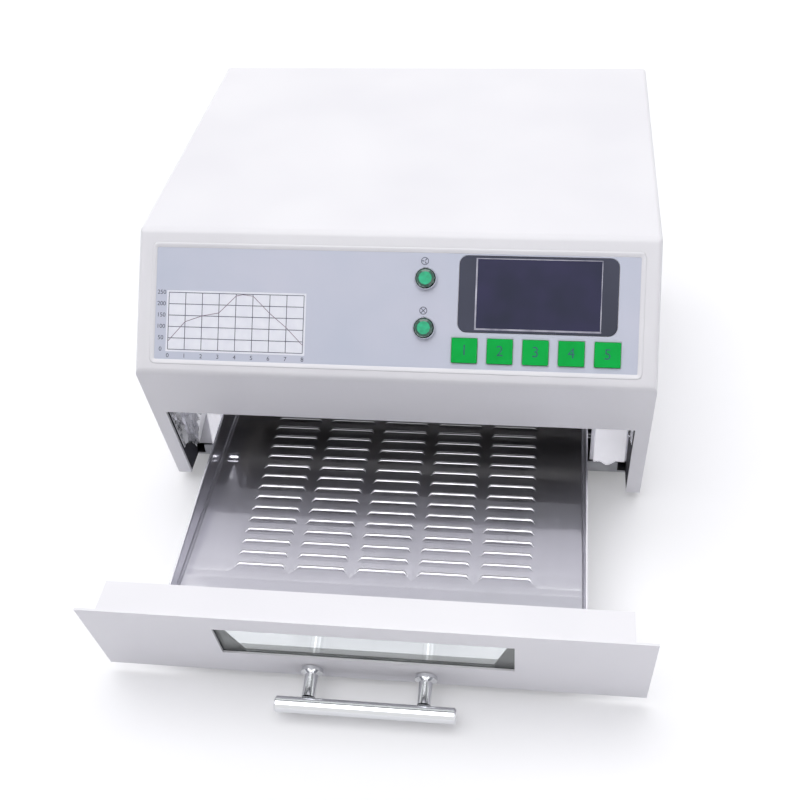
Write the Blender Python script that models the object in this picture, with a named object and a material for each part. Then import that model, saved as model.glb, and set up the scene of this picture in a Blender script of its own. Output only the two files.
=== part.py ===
"""Benchtop infrared reflow oven with a sliding soldering drawer.

Metres, +Z up, +Y towards the back of the oven. The origin is on the table, under the middle
of the whole oven with its drawer pulled out. Inside the script, the case is laid out from the
beak (the front edge where the fascia meets the chin) at Y = 0, and one empty moves it all.
"""

import math

import bmesh
import bpy
from mathutils import Matrix, Vector

# Fits shared by all pieces
SEAT_GAP = 0.0003           # between pieces that rest on or in each other
RUNNING_GAP = 0.0005        # between pieces that slide on each other
CUT_MARGIN = 0.004          # how far a cutter reaches past the wall it opens

# Case
CASE_WIDTH = 0.310
CASE_DEPTH = 0.284          # beak to rear panel
CASE_HEIGHT = 0.178         # lower edge of the hood to its top
HOOD_SHEET = 0.0018
HOOD_BEND = 0.003           # outside radius of the folds
FASCIA_RUN = 0.055          # top edge of the fascia behind the beak
FASCIA_DROP = 0.067         # top edge of the fascia above the beak
CHIN_RUN = 0.030            # foot of the chin behind the beak
JAMB_WIDTH = 0.009          # painted strip on each side of the drawer opening
JAMB_RETURN = 0.0012        # sheet that turns back from each jamb to the base pan
JAMB_RETURN_TOP = 0.1050
OPENING_HEIGHT = 0.070      # drawer opening above the hood's lower edge
FOOT_HEIGHT = 0.008
FOOT_RADIUS = 0.009
FOOT_INSET_X = 0.028        # foot centre from the case side
FOOT_INSET_Y = 0.020        # foot centre from the base pan's front and back edges
PAN_SHEET = 0.0012
PAN_LIP = 0.0085
PAN_NOTCH = 0.0142          # front lip's ends short of the case's sides
PAN_SETBACK = 0.0488        # front lip of the base pan behind the beak
REAR_SHEET = 0.0012

# Drawer front: one folded sheet with a slanted plate and a flange along its top
PLATE_INSET = 0.0025        # plate's end inside the case's side
PLATE_LENGTH = 0.0707       # along the slope
DRAWER_SHEET = 0.0012
DRAWER_TOP_GAP = 0.0025     # flange below the top of the drawer opening
DRAWER_SIDE_GAP = 0.005     # flange inside each jamb
FLANGE_DEPTH = 0.021
FLANGE_LIP = 0.006
GUSSET_HEIGHT = 0.058
PLATE_SEAT = 0.0006         # plate in front of the jambs when it is shut
DRAWER_OPENING = 0.158      # how far the drawer stands out at rest
WINDOW_WIDTH = 0.161
WINDOW_HEIGHT = 0.0305
WINDOW_TOP = 0.0147         # down the slope from the plate's top edge
GLASS_BORDER = 0.0055       # glass past each side of the window
GLASS_THICKNESS = 0.004
FRAME_THICKNESS = 0.0016
FRAME_OPENING_INSET = 0.006  # retaining frame's opening inside the window
HANDLE_SPACING = 0.064
HANDLE_LENGTH = 0.100
HANDLE_BAR_RADIUS = 0.0045
HANDLE_REACH = 0.0215       # bar's axis in front of the plate
HANDLE_DROP = 0.0605        # handle's axis below the plate's top edge, along the slope
POST_RADIUS = 0.0038
POST_COLLAR_RADIUS = 0.0062
POST_COLLAR = 0.0025
SCREW_HEAD_RADIUS = 0.0042
SCREW_HEAD = 0.0022

# Tray
TRAY_INSET = 0.0380         # tray's side wall inside the case's side
TRAY_SHEET = 0.0008
TRAY_FLOOR_Z = 0.0330       # top of the floor above the table
TRAY_WALL = 0.0040
TRAY_SIDE = 0.0010          # plate welded to the outside of each wall
TRAY_SIDE_FRONT = 0.0425    # top of the side plates above the table, at the tray's front edge
TRAY_SIDE_BACK = 0.0600     # and at its back edge
TRAY_FLANGE = 0.0052        # runner that stands out from each side plate
TRAY_END_GAP = 0.0030       # tray short of the chamber's back wall when it is shut
TRAY_REAR_LIP = 0.0060
RUNNER_LENGTH = 0.0220      # at the back of the tray, so that the runners stay in the rails
BRACKET_X = 0.0950          # inner edge of each angle that holds the tray to the plate
BRACKET_WIDTH = 0.0140
BRACKET_LEG = 0.0140
BRACKET_SHEET = 0.0010
LOUVRE_COLUMNS = 5
LOUVRE_SIDE = 0.0262        # plain floor between the louvres and each side wall
LOUVRE_LAND = 0.0055        # plain floor between two columns
LOUVRE_PITCH_Y = 0.0095
LOUVRE_WIDTH = 0.0046
LOUVRE_HEIGHT = 0.0015
LOUVRE_SLIT = 0.0007        # floor's cut edge behind the raised rim
LOUVRE_FRONT = 0.0547       # first row behind the tray's front edge
LOUVRE_BACK = 0.0200        # last row at least this far from its back edge

# Heating chamber
CHAMBER_SHEET = 0.0008
CHAMBER_SIDE_GAP = 0.0024   # liner wall outside the tray's runner
MOUTH_SIDE_GAP = 0.0034     # bulkhead's mouth outside the tray's side plates
CHAMBER_FAN_GAP = 0.0074    # chamber's back wall in front of the fan
CHAMBER_WALL_TOP = 0.1050
RAIL_SHEET = 0.0010
BULKHEAD_SHEET = 0.0010
BULKHEAD_MOUTH_TOP = 0.0925
JACKET_SHEET = 0.0010
JACKET_SIDE_GAP = 0.0050    # insulation space between liner and jacket
JACKET_TOP = 0.1320
TUBE_COUNT = 4
TUBE_RADIUS = 0.0050
TUBE_CAP_RADIUS = 0.0060
TUBE_CAP_LENGTH = 0.0120
TUBE_END_SPACE = 0.65       # from the first and last tubes to the chamber's ends, in tube pitches
TUBE_Z = 0.0930
RACK_THICKNESS = 0.0060
RACK_HEIGHT = 0.0180
TROUGH_RADIUS = 0.0190
TROUGH_RISE = 0.0065
PROBE_RADIUS = 0.0015
PROBE_REACH = 0.045         # into the chamber
PROBE_Z = 0.0790
FOIL_THICKNESS = 0.0008
FOIL_BOTTOM = 0.0280
FOIL_TOP = 0.1000
FOIL_SETBACK = 0.0010       # behind the inside of the chin

# Control fascia, measured in its own plane: X across, distances down from its top edge
OVERLAY_MARGIN_X = 0.010
OVERLAY_TOP = 0.0094
OVERLAY_HEIGHT = 0.0708
OVERLAY_SHEET = 0.0004
OVERLAY_RECESS = 0.0012
OVERLAY_SUNK = 0.0005       # face of the overlay below the painted border
LENS_WIDTH = 0.0918
LENS_HEIGHT = 0.0445
LENS_RADIUS = 0.0050
LENS_TOP = 0.0123
LENS_RIGHT = 0.0140         # from the overlay's right edge
LENS_PROUD = 0.0002
SCREEN_WIDTH = 0.0722
SCREEN_HEIGHT = 0.0400
LCD_DEPTH = 0.0095
LAMP_LENS_GAP = 0.0196      # lamp's middle left of the display lens
LAMP_DROPS = (0.0262, 0.0552)
LAMP_BEZEL_RADIUS = 0.0068
LAMP_BARREL_RADIUS = 0.0060
LAMP_LENS_RADIUS = 0.0052
LAMP_HEIGHT = 0.0020
LAMP_BARREL = 0.0110
KEY_COUNT = 5
KEY_PITCH = 0.0206
KEY_WIDTH = 0.0150
KEY_HEIGHT = 0.0145
KEY_DROP = 0.0676           # middle of the keys below the fascia's top edge
KEY_RIGHT = 0.0190          # last key's middle from the overlay's right edge
KEY_CAP = 0.0010
KEY_PROUD = 0.0006
KEY_TRAVEL = 0.0005
KEY_STEM = 0.0040
BOARD_DEPTH = 0.0130        # board's face behind the fascia's outer face
BOARD_SHEET = 0.0016
BOARD_MARGIN = 0.0070
SWITCH_SIDE = 0.0060
STANDOFF_RADIUS = 0.0028

# Rear: fan, inlet and switch
FAN_SIDE = 0.080
FAN_DEPTH = 0.025
FAN_BORE = 0.0380
FAN_X = -0.055
FAN_Z = 0.0625
FAN_HUB_RADIUS = 0.0165
FAN_BLADES = 7
FAN_BLADE_SHEET = 0.0014
FAN_BLADE_CHORD = 0.0170
FAN_BLADE_PITCH = math.radians(40.0)
FAN_TIP_GAP = 0.0012
FAN_STRUT = 0.0030
GUARD_RINGS = 4
GUARD_WIRE = 0.0020
INLET_INSET = 0.060         # inlet's middle from the case's right side
INLET_Z = 0.048
INLET_WIDTH = 0.0480
INLET_HEIGHT = 0.0270
INLET_FLANGE = 0.0030
INLET_BODY_WIDTH = 0.0280
INLET_BODY_HEIGHT = 0.0200
INLET_BODY_DEPTH = 0.0200
INLET_RECESS_DEPTH = 0.0165
INLET_WALL = 0.0020
PIN_LENGTH = 0.0105
PIN_WIDTH = 0.0020
PIN_HEIGHT = 0.0040
PIN_SPREAD = 0.0070
SWITCH_Z = 0.092
SWITCH_WIDTH = 0.0150
SWITCH_HEIGHT = 0.0210
SWITCH_FLANGE = 0.0020
SWITCH_BODY_DEPTH = 0.0150
SWITCH_RIM = 0.0022
ROCKER_SWING = math.radians(16.0)
ROCKER_RADIUS = 0.0125

# Parts on the jacket's deck
TRANSFORMER_SIZE = (0.046, 0.038, 0.040)
TRANSFORMER_X = -0.080
TRANSFORMER_Y = 0.195
RELAY_SIZE = (0.058, 0.045, 0.022)
RELAY_X = 0.070
RELAY_Y = 0.195

# Levels and planes worked out from the sizes above
BASE_Z = FOOT_HEIGHT
TOP_Z = BASE_Z + CASE_HEIGHT
BEAK_Z = TOP_Z - FASCIA_DROP
CHIN_LEAN = math.atan2(CHIN_RUN, BEAK_Z - BASE_Z)
FASCIA_PITCH = math.atan2(FASCIA_DROP, FASCIA_RUN)
PLATE_PITCH = math.radians(90.0) + CHIN_LEAN
OPENING_TOP = BASE_Z + OPENING_HEIGHT
HALF_WIDTH = CASE_WIDTH / 2
HALF_INSIDE = HALF_WIDTH - HOOD_SHEET
RETURN_FACE = HALF_WIDTH - JAMB_WIDTH + SEAT_GAP
DRAWER_Z = OPENING_TOP - DRAWER_TOP_GAP
DRAWER_SHUT_Y = ((BEAK_Z - DRAWER_Z) * math.tan(CHIN_LEAN)
                 - (DRAWER_SHEET + PLATE_SEAT) / math.cos(CHIN_LEAN))
DRAWER_Y = DRAWER_SHUT_Y - DRAWER_OPENING
FLANGE_HALF = HALF_WIDTH - JAMB_WIDTH - DRAWER_SIDE_GAP
TRAY_HALF = HALF_WIDTH - TRAY_INSET
TRAY_SIDE_HALF = TRAY_HALF + TRAY_SHEET + TRAY_SIDE
RUNNER_HALF = TRAY_SIDE_HALF + TRAY_FLANGE
LINER_HALF = RUNNER_HALF + CHAMBER_SIDE_GAP
JACKET_HALF = LINER_HALF + CHAMBER_SHEET + JACKET_SIDE_GAP
BULKHEAD_Y = PAN_SETBACK + PAN_SHEET + SEAT_GAP
CHAMBER_Y = BULKHEAD_Y + BULKHEAD_SHEET + SEAT_GAP
REAR_INNER = CASE_DEPTH - REAR_SHEET
CHAMBER_BACK = REAR_INNER - SEAT_GAP - FAN_DEPTH - CHAMBER_FAN_GAP
PAN_TOP = BASE_Z + PAN_SHEET
TUBE_MIDDLE_Y = (CHAMBER_Y + CHAMBER_BACK) / 2
TUBE_PITCH = (CHAMBER_BACK - CHAMBER_Y) / (TUBE_COUNT - 1 + 2 * TUBE_END_SPACE)
PLATE_HALF = HALF_WIDTH - PLATE_INSET
LOUVRE_PITCH_X = 2 * (TRAY_HALF - LOUVRE_SIDE) / LOUVRE_COLUMNS
LOUVRE_LENGTH = LOUVRE_PITCH_X - LOUVRE_LAND
INLET_X = HALF_WIDTH - INLET_INSET
OVERLAY_HALF = HALF_WIDTH - OVERLAY_MARGIN_X
LENS_X = OVERLAY_HALF - LENS_RIGHT - LENS_WIDTH / 2
LAMP_X = LENS_X - LENS_WIDTH / 2 - LAMP_LENS_GAP
KEY_XS = [OVERLAY_HALF - KEY_RIGHT - KEY_PITCH * (KEY_COUNT - 1 - i) for i in range(KEY_COUNT)]
PLATE_SLOPE_Y = math.sin(CHIN_LEAN)
PLATE_SLOPE_Z = -math.cos(CHIN_LEAN)
HANDLE_FRONT = (DRAWER_Y + HANDLE_DROP * PLATE_SLOPE_Y - HANDLE_REACH * math.cos(CHIN_LEAN)
                - HANDLE_BAR_RADIUS)
GUARD_BACK = CASE_DEPTH + SEAT_GAP + GUARD_WIRE
INLET_BACK = CASE_DEPTH + SEAT_GAP + INLET_FLANGE
CENTRING_Y = -(HANDLE_FRONT + max(GUARD_BACK, INLET_BACK)) / 2


# Scene and modelling helpers
def clear_scene():
    for old in list(bpy.data.objects):
        bpy.data.objects.remove(old, do_unlink=True)


def material(name, colour, roughness, metallic=0.0, alpha=1.0):
    made = bpy.data.materials.new(name)
    made.use_nodes = True
    shader = made.node_tree.nodes["Principled BSDF"]
    shader.inputs["Base Color"].default_value = (*colour, 1.0)
    shader.inputs["Roughness"].default_value = roughness
    shader.inputs["Metallic"].default_value = metallic
    shader.inputs["Alpha"].default_value = alpha
    made.diffuse_color = (*colour, alpha)
    return made


def empty(name, parent=None, location=(0, 0, 0), rotation=(0, 0, 0)):
    made = bpy.data.objects.new(name, None)
    bpy.context.scene.collection.objects.link(made)
    made.parent = parent
    made.location = location
    made.rotation_euler = rotation
    return made


def place(name, shape, finish, parent, location=(0, 0, 0), rotation=(0, 0, 0), smooth=False):
    """Turns a bmesh into a named object under a parent."""
    bmesh.ops.recalc_face_normals(shape, faces=shape.faces)
    if shape.calc_volume(signed=True) < 0:
        bmesh.ops.reverse_faces(shape, faces=shape.faces)
    mesh = bpy.data.meshes.new(name)
    shape.to_mesh(mesh)
    shape.free()
    if smooth:
        mesh.shade_smooth()
        mesh.set_sharp_from_angle(angle=math.radians(35))
    made = bpy.data.objects.new(name, mesh)
    bpy.context.scene.collection.objects.link(made)
    if finish is not None:
        mesh.materials.append(finish)
    made.parent = parent
    made.location = location
    made.rotation_euler = rotation
    return made


def tool(target, operation, shape, parent, location, rotation):
    """Cuts a shape from a piece, or joins it on, with a Boolean that stays live."""
    name = f"{target.name}.tool{len(target.modifiers)}"
    helper = place(name, shape, None, parent, location, rotation)
    helper.hide_render = True
    helper.display_type = "WIRE"
    step = target.modifiers.new(name, "BOOLEAN")
    step.operation = operation
    step.solver = "EXACT"
    step.object = helper


def cut(target, shape, parent, location=(0, 0, 0), rotation=(0, 0, 0)):
    tool(target, "DIFFERENCE", shape, parent, location, rotation)


def join(target, shape, parent, location=(0, 0, 0), rotation=(0, 0, 0)):
    tool(target, "UNION", shape, parent, location, rotation)


def box(low, high):
    shape = bmesh.new()
    bmesh.ops.create_cube(shape, size=1.0)
    low, high = Vector(low), Vector(high)
    size = high - low
    for vert in shape.verts:
        vert.co = low + Vector((vert.co[i] + 0.5) * size[i] for i in range(3))
    return shape


def prism(outline, start, end, axis="X"):
    """A 2-D outline extruded along an axis. Its two numbers are the other axes, in X, Y, Z order."""
    order = {"X": (2, 0, 1), "Y": (0, 2, 1), "Z": (0, 1, 2)}[axis]
    shape = bmesh.new()

    def point(pair, along):
        values = (*pair, along)
        return [values[i] for i in order]

    near = [shape.verts.new(point(pair, start)) for pair in outline]
    far = [shape.verts.new(point(pair, end)) for pair in outline]
    shape.faces.new(near)
    shape.faces.new(reversed(far))
    for i in range(len(outline)):
        j = (i + 1) % len(outline)
        shape.faces.new((near[j], near[i], far[i], far[j]))
    return shape


def offset_path(path, distance, closed=False):
    """A 2-D path moved to its left by a distance, with mitred corners."""
    points = [Vector(p) for p in path]
    count = len(points)
    moved = []
    for i, point in enumerate(points):
        before = points[i - 1] if closed or i > 0 else None
        after = points[(i + 1) % count] if closed or i < count - 1 else None
        sides = [(b - a).normalized() for a, b in ((before, point), (point, after)) if a and b]
        lefts = [Vector((-s.y, s.x)) for s in sides]
        middle = sum(lefts, Vector((0, 0))).normalized()
        moved.append(tuple(point + middle * (distance / middle.dot(lefts[0]))))
    return moved


def folded(path, sheet):
    """The outline of a folded sheet: a path and the same path one sheet to its left."""
    return list(path) + list(reversed(offset_path(path, sheet)))


def rounded_rectangle(width, height, radius, steps=4):
    """Outline of a rectangle about the origin with round corners."""
    points = []
    for corner in range(4):
        turn = math.radians(90 * corner)
        sign_x = (1, -1, -1, 1)[corner]
        sign_y = (1, 1, -1, -1)[corner]
        centre = (sign_x * (width / 2 - radius), sign_y * (height / 2 - radius))
        for i in range(steps + 1):
            angle = turn + math.radians(90) * i / steps
            points.append((centre[0] + radius * math.cos(angle), centre[1] + radius * math.sin(angle)))
    return points


def rectangle(width, height):
    return [(width / 2, height / 2), (-width / 2, height / 2),
            (-width / 2, -height / 2), (width / 2, -height / 2)]


def shifted(outline, by_x, by_y):
    return [(x + by_x, y + by_y) for x, y in outline]


def turned(profile, sides=24):
    """A profile of (radius, height) points spun round Z. It is closed where it leaves the axis."""
    shape = bmesh.new()
    rings = []
    for radius, height in profile:
        count = 1 if radius < 1e-7 else sides
        rings.append([shape.verts.new((radius * math.cos(math.tau * i / sides),
                                       radius * math.sin(math.tau * i / sides), height))
                      for i in range(count)])
    on_axis = len(rings[0]) == 1
    pairs = list(zip(rings, rings[1:])) + ([] if on_axis else [(rings[-1], rings[0])])
    for a, b in pairs:
        for i in range(sides):
            j = (i + 1) % sides
            corners = [a[i % len(a)], a[j % len(a)], b[j % len(b)], b[i % len(b)]]
            shape.faces.new(dict.fromkeys(corners))
    return shape


def cylinder(radius, low, high, sides=24):
    return turned([(0, low), (radius, low), (radius, high), (0, high)], sides)


def swung(shape, angle, axis):
    """The shape turned about an axis through the origin."""
    bmesh.ops.transform(shape, matrix=Matrix.Rotation(angle, 4, axis), verts=shape.verts)
    return shape


# Finishes
def make_finishes():
    return {
        "paint": material("warm_white_enamel", (0.80, 0.80, 0.78), 0.45),
        "liner_paint": material("white_enamel", (0.85, 0.85, 0.86), 0.55),
        "stainless": material("bright_stainless", (0.62, 0.61, 0.64), 0.18, 1.0),
        "zinc": material("zinc_plated_steel", (0.55, 0.56, 0.58), 0.40, 1.0),
        "chrome": material("polished_chrome", (0.80, 0.80, 0.82), 0.08, 1.0),
        "foil": material("aluminium_foil", (0.78, 0.78, 0.80), 0.25, 1.0),
        "overlay": material("polyester_overlay", (0.62, 0.62, 0.70), 0.45),
        "key": material("green_key", (0.02, 0.55, 0.14), 0.40),
        "lens": material("smoked_acrylic", (0.09, 0.09, 0.12), 0.12),
        "lamp": material("green_lamp", (0.01, 0.45, 0.25), 0.15),
        "rubber": material("black_rubber", (0.03, 0.03, 0.03), 0.70),
        "black": material("black_plastic", (0.04, 0.04, 0.04), 0.45),
        "rocker": material("red_rocker", (0.55, 0.03, 0.02), 0.35),
        "glass": material("heat_glass", (0.70, 0.78, 0.76), 0.05, 0.0, 0.35),
        "quartz": material("frosted_quartz", (0.85, 0.85, 0.82), 0.35),
        "ceramic": material("white_ceramic", (0.86, 0.84, 0.78), 0.60),
        "fibre": material("ceramic_fibre", (0.88, 0.87, 0.84), 0.95),
        "board": material("green_board", (0.02, 0.20, 0.07), 0.45),
        "iron": material("lacquered_laminations", (0.20, 0.20, 0.21), 0.50, 0.6),
    }


# Case
def hood_outline():
    """Side view of the hood: rear foot, rear top, fascia top, beak, chin foot, in Y and Z."""
    return [(CASE_DEPTH, BASE_Z), (CASE_DEPTH, TOP_Z), (FASCIA_RUN, TOP_Z),
            (0.0, BEAK_Z), (CHIN_RUN, BASE_Z)]


def make_hood(case, fascia, finish):
    """Top, fascia, chin, jambs and sides in one painted sheet-metal shell, open below and behind.

    Each jamb has a return that is welded on behind it and reaches back to the base pan.
    """
    outer = hood_outline()
    shape = prism(outer, -HALF_WIDTH, HALF_WIDTH)
    folds = [e for e in shape.edges
             if all(v.co.z > BASE_Z + SEAT_GAP and v.co.y < CASE_DEPTH - SEAT_GAP for v in e.verts)]
    side_folds = [e for e in shape.edges
                  if all(abs(v.co.z - TOP_Z) < SEAT_GAP for v in e.verts)
                  and abs(e.verts[0].co.x - e.verts[1].co.x) < SEAT_GAP]
    edges = list(dict.fromkeys(folds + side_folds))
    bmesh.ops.bevel(shape, geom=edges, offset=HOOD_BEND, segments=3, profile=0.5,
                    affect="EDGES", clamp_overlap=True)
    hood = place("hood", shape, finish, case)
    inner = offset_path(outer, HOOD_SHEET, closed=True)
    past_back = CASE_DEPTH + CUT_MARGIN
    below = BASE_Z - CUT_MARGIN
    chin_slope = math.tan(CHIN_LEAN)
    hollow = [(past_back, below), (past_back, inner[1][1]), inner[2], inner[3],
              (inner[3][0] + (inner[3][1] - below) * chin_slope, below)]
    cut(hood, prism(hollow, -HALF_INSIDE, HALF_INSIDE), case)
    opening_half = HALF_WIDTH - JAMB_WIDTH
    cut(hood, box((-opening_half, -CUT_MARGIN, below),
                  (opening_half, CHIN_RUN + CUT_MARGIN, OPENING_TOP)), case)
    low, high, back = BASE_Z + SEAT_GAP, JAMB_RETURN_TOP, PAN_SETBACK - SEAT_GAP
    jamb_return = [(behind_chin(low, HOOD_SHEET / 2), low), (back, low),
                   (back, high), (behind_chin(high, HOOD_SHEET / 2), high)]
    for sign in (-1, 1):
        join(hood, prism(jamb_return, *sorted((sign * RETURN_FACE, sign * (RETURN_FACE + JAMB_RETURN)))), case)
    middle = -(OVERLAY_TOP + OVERLAY_HEIGHT / 2)
    pocket = shifted(rectangle(2 * (OVERLAY_HALF + SEAT_GAP), OVERLAY_HEIGHT + 2 * SEAT_GAP), 0, middle)
    cut(hood, prism(pocket, -OVERLAY_RECESS, CUT_MARGIN, "Z"), fascia)
    for hole in fascia_holes(2 * SEAT_GAP):
        cut(hood, prism(hole, -HOOD_SHEET - CUT_MARGIN, CUT_MARGIN, "Z"), fascia)
    return hood


def behind_chin(z, depth):
    """Y of a point at a height and at a depth behind the chin's outer face."""
    return (BEAK_Z - z) * math.tan(CHIN_LEAN) + depth / math.cos(CHIN_LEAN)


def fascia_holes(gap):
    """Outlines cut through the sheet of the fascia for the display, the lamps and the key stems."""
    screen = shifted(rectangle(SCREEN_WIDTH + 2 * gap, SCREEN_HEIGHT + 2 * gap),
                     LENS_X, -(LENS_TOP + LENS_HEIGHT / 2))
    holes = [screen]
    for drop in LAMP_DROPS:
        holes.append(circle(LAMP_BARREL_RADIUS + gap, LAMP_X, -drop))
    for x in KEY_XS:
        holes.append(shifted(rectangle(KEY_STEM + 2 * gap, KEY_STEM + 2 * gap), x, -KEY_DROP))
    return holes


def circle(radius, x, y, sides=24):
    return [(x + radius * math.cos(math.tau * i / sides), y + radius * math.sin(math.tau * i / sides))
            for i in range(sides)]


def make_base_pan(case, finish):
    """Folded pan between the hood's sides, with a lip all round that is cut away at its front corners."""
    half = HALF_INSIDE - SEAT_GAP
    back = REAR_INNER - SEAT_GAP
    pan = place("base_pan", box((-half, PAN_SETBACK, BASE_Z), (half, back, BASE_Z + PAN_LIP)), finish, case)
    cut(pan, box((-half + PAN_SHEET, PAN_SETBACK + PAN_SHEET, PAN_TOP),
                 (half - PAN_SHEET, back - PAN_SHEET, BASE_Z + PAN_LIP + CUT_MARGIN)), case)
    notch = sorted((HALF_WIDTH - PAN_NOTCH, HALF_WIDTH))
    for sign in (-1, 1):
        ends = sorted(sign * x for x in notch)
        cut(pan, box((ends[0], PAN_SETBACK - CUT_MARGIN, PAN_TOP + SEAT_GAP),
                     (ends[1], PAN_SETBACK + CUT_MARGIN, BASE_Z + PAN_LIP + CUT_MARGIN)), case)


def make_feet(case, finish):
    """Moulded rubber feet under the corners of the base pan."""
    profile = [(0, 0), (FOOT_RADIUS * 0.85, 0), (FOOT_RADIUS, FOOT_HEIGHT * 0.35),
               (FOOT_RADIUS, FOOT_HEIGHT - SEAT_GAP), (0, FOOT_HEIGHT - SEAT_GAP)]
    rows = {"front": PAN_SETBACK + FOOT_INSET_Y, "rear": REAR_INNER - FOOT_INSET_Y}
    for row, y in rows.items():
        for side, sign in (("left", -1), ("right", 1)):
            place(f"foot_{row}_{side}", turned(profile), finish, case,
                  (sign * (HALF_WIDTH - FOOT_INSET_X), y, 0), smooth=True)


def make_rear_panel(case, finish):
    """Flat panel let into the back of the hood, with holes for the fan, the inlet and the switch."""
    half = HALF_INSIDE - SEAT_GAP
    panel = place("rear_panel", box((-half, REAR_INNER, BASE_Z),
                                    (half, CASE_DEPTH, TOP_Z - HOOD_SHEET - SEAT_GAP)), finish, case)
    start, end = REAR_INNER - CUT_MARGIN, CASE_DEPTH + CUT_MARGIN
    cut(panel, prism(circle(FAN_BORE, FAN_X, FAN_Z, 40), start, end, "Y"), case)
    for x, z, width, height in (
            (INLET_X, INLET_Z, INLET_BODY_WIDTH, INLET_BODY_HEIGHT),
            (INLET_X, SWITCH_Z, SWITCH_WIDTH - SWITCH_RIM, SWITCH_HEIGHT - SWITCH_RIM)):
        hole = shifted(rectangle(width + 2 * SEAT_GAP, height + 2 * SEAT_GAP), x, z)
        cut(panel, prism(hole, start, end, "Y"), case)


# Heating chamber
def make_bulkhead(case, finish):
    """Upright plate behind the drawer opening, with a mouth that the tray passes through."""
    half = HALF_INSIDE - SEAT_GAP
    bottom = BASE_Z + PAN_LIP + SEAT_GAP
    mouth = TRAY_SIDE_HALF + MOUTH_SIDE_GAP
    outline = [(-half, bottom), (-mouth, bottom), (-mouth, BULKHEAD_MOUTH_TOP), (mouth, BULKHEAD_MOUTH_TOP),
               (mouth, bottom), (half, bottom), (half, JACKET_TOP), (-half, JACKET_TOP)]
    place("front_bulkhead", prism(outline, BULKHEAD_Y, BULKHEAD_Y + BULKHEAD_SHEET, "Y"), finish, case)


def make_liner(case, finish):
    """Chamber trough: floor, two sides and a back wall with a hole for the fan's air."""
    bottom = PAN_TOP + SEAT_GAP
    path = [(-LINER_HALF, CHAMBER_WALL_TOP), (-LINER_HALF, bottom + CHAMBER_SHEET),
            (LINER_HALF, bottom + CHAMBER_SHEET), (LINER_HALF, CHAMBER_WALL_TOP)]
    liner = place("chamber_liner", prism(folded(path, -CHAMBER_SHEET), CHAMBER_Y, CHAMBER_BACK, "Y"),
                  finish, case)
    overlap = CHAMBER_SHEET / 2
    join(liner, box((-LINER_HALF - overlap, CHAMBER_BACK - CHAMBER_SHEET, bottom + overlap),
                    (LINER_HALF + overlap, CHAMBER_BACK + overlap, CHAMBER_WALL_TOP - SEAT_GAP)), case)
    cut(liner, prism(circle(FAN_BORE - FAN_STRUT, FAN_X, FAN_Z, 32), CHAMBER_BACK - CUT_MARGIN,
                     CHAMBER_BACK + CUT_MARGIN, "Y"), case)
    for sign, y in probe_places():
        cut(liner, swung(cylinder(PROBE_RADIUS + SEAT_GAP, -CUT_MARGIN, CUT_MARGIN, 16),
                         math.radians(90), "Y"), case, (sign * LINER_HALF, y, PROBE_Z))


def probe_places():
    """Side and depth of each thermocouple."""
    return ((-1, TUBE_MIDDLE_Y - TUBE_PITCH), (1, TUBE_MIDDLE_Y + TUBE_PITCH))


def make_jacket(case, finish):
    """Outer cover over the chamber: an inverted U that stands on the base pan."""
    path = [(-JACKET_HALF, PAN_TOP + SEAT_GAP), (-JACKET_HALF, JACKET_TOP),
            (JACKET_HALF, JACKET_TOP), (JACKET_HALF, PAN_TOP + SEAT_GAP)]
    jacket = place("chamber_jacket", prism(folded(path, -JACKET_SHEET), CHAMBER_Y, CHAMBER_BACK, "Y"),
                   finish, case)
    for sign, y in probe_places():
        cut(jacket, swung(cylinder(PROBE_RADIUS + SEAT_GAP, -CUT_MARGIN, CUT_MARGIN, 16),
                          math.radians(90), "Y"), case, (sign * JACKET_HALF, y, PROBE_Z))


def tube_ys():
    return [TUBE_MIDDLE_Y + TUBE_PITCH * (i - (TUBE_COUNT - 1) / 2) for i in range(TUBE_COUNT)]


def make_reflector(case, finish):
    """Bright sheet with one round trough over each heater tube, laid on the liner's walls."""
    bottom = CHAMBER_WALL_TOP + SEAT_GAP
    reach = math.acos(1 - TROUGH_RISE / TROUGH_RADIUS)
    steps = 6
    path = [(CHAMBER_Y, bottom)]
    for y in tube_ys():
        for i in range(steps + 1):
            angle = reach * (2 * i / steps - 1)
            path.append((y + TROUGH_RADIUS * math.sin(angle),
                         bottom + TROUGH_RADIUS * math.cos(angle) - TROUGH_RADIUS + TROUGH_RISE))
    path.append((CHAMBER_BACK, bottom))
    place("lamp_reflector", prism(folded(path, CHAMBER_SHEET), -LINER_HALF, LINER_HALF), finish, case)


def make_insulation(case, finish):
    """Ceramic fibre blanket between the reflector and the jacket."""
    low = CHAMBER_WALL_TOP + SEAT_GAP + TROUGH_RISE + CHAMBER_SHEET + SEAT_GAP
    high = JACKET_TOP - JACKET_SHEET - SEAT_GAP
    place("insulation_blanket", box((-LINER_HALF, CHAMBER_Y, low), (LINER_HALF, CHAMBER_BACK, high)),
          finish, case)


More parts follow.
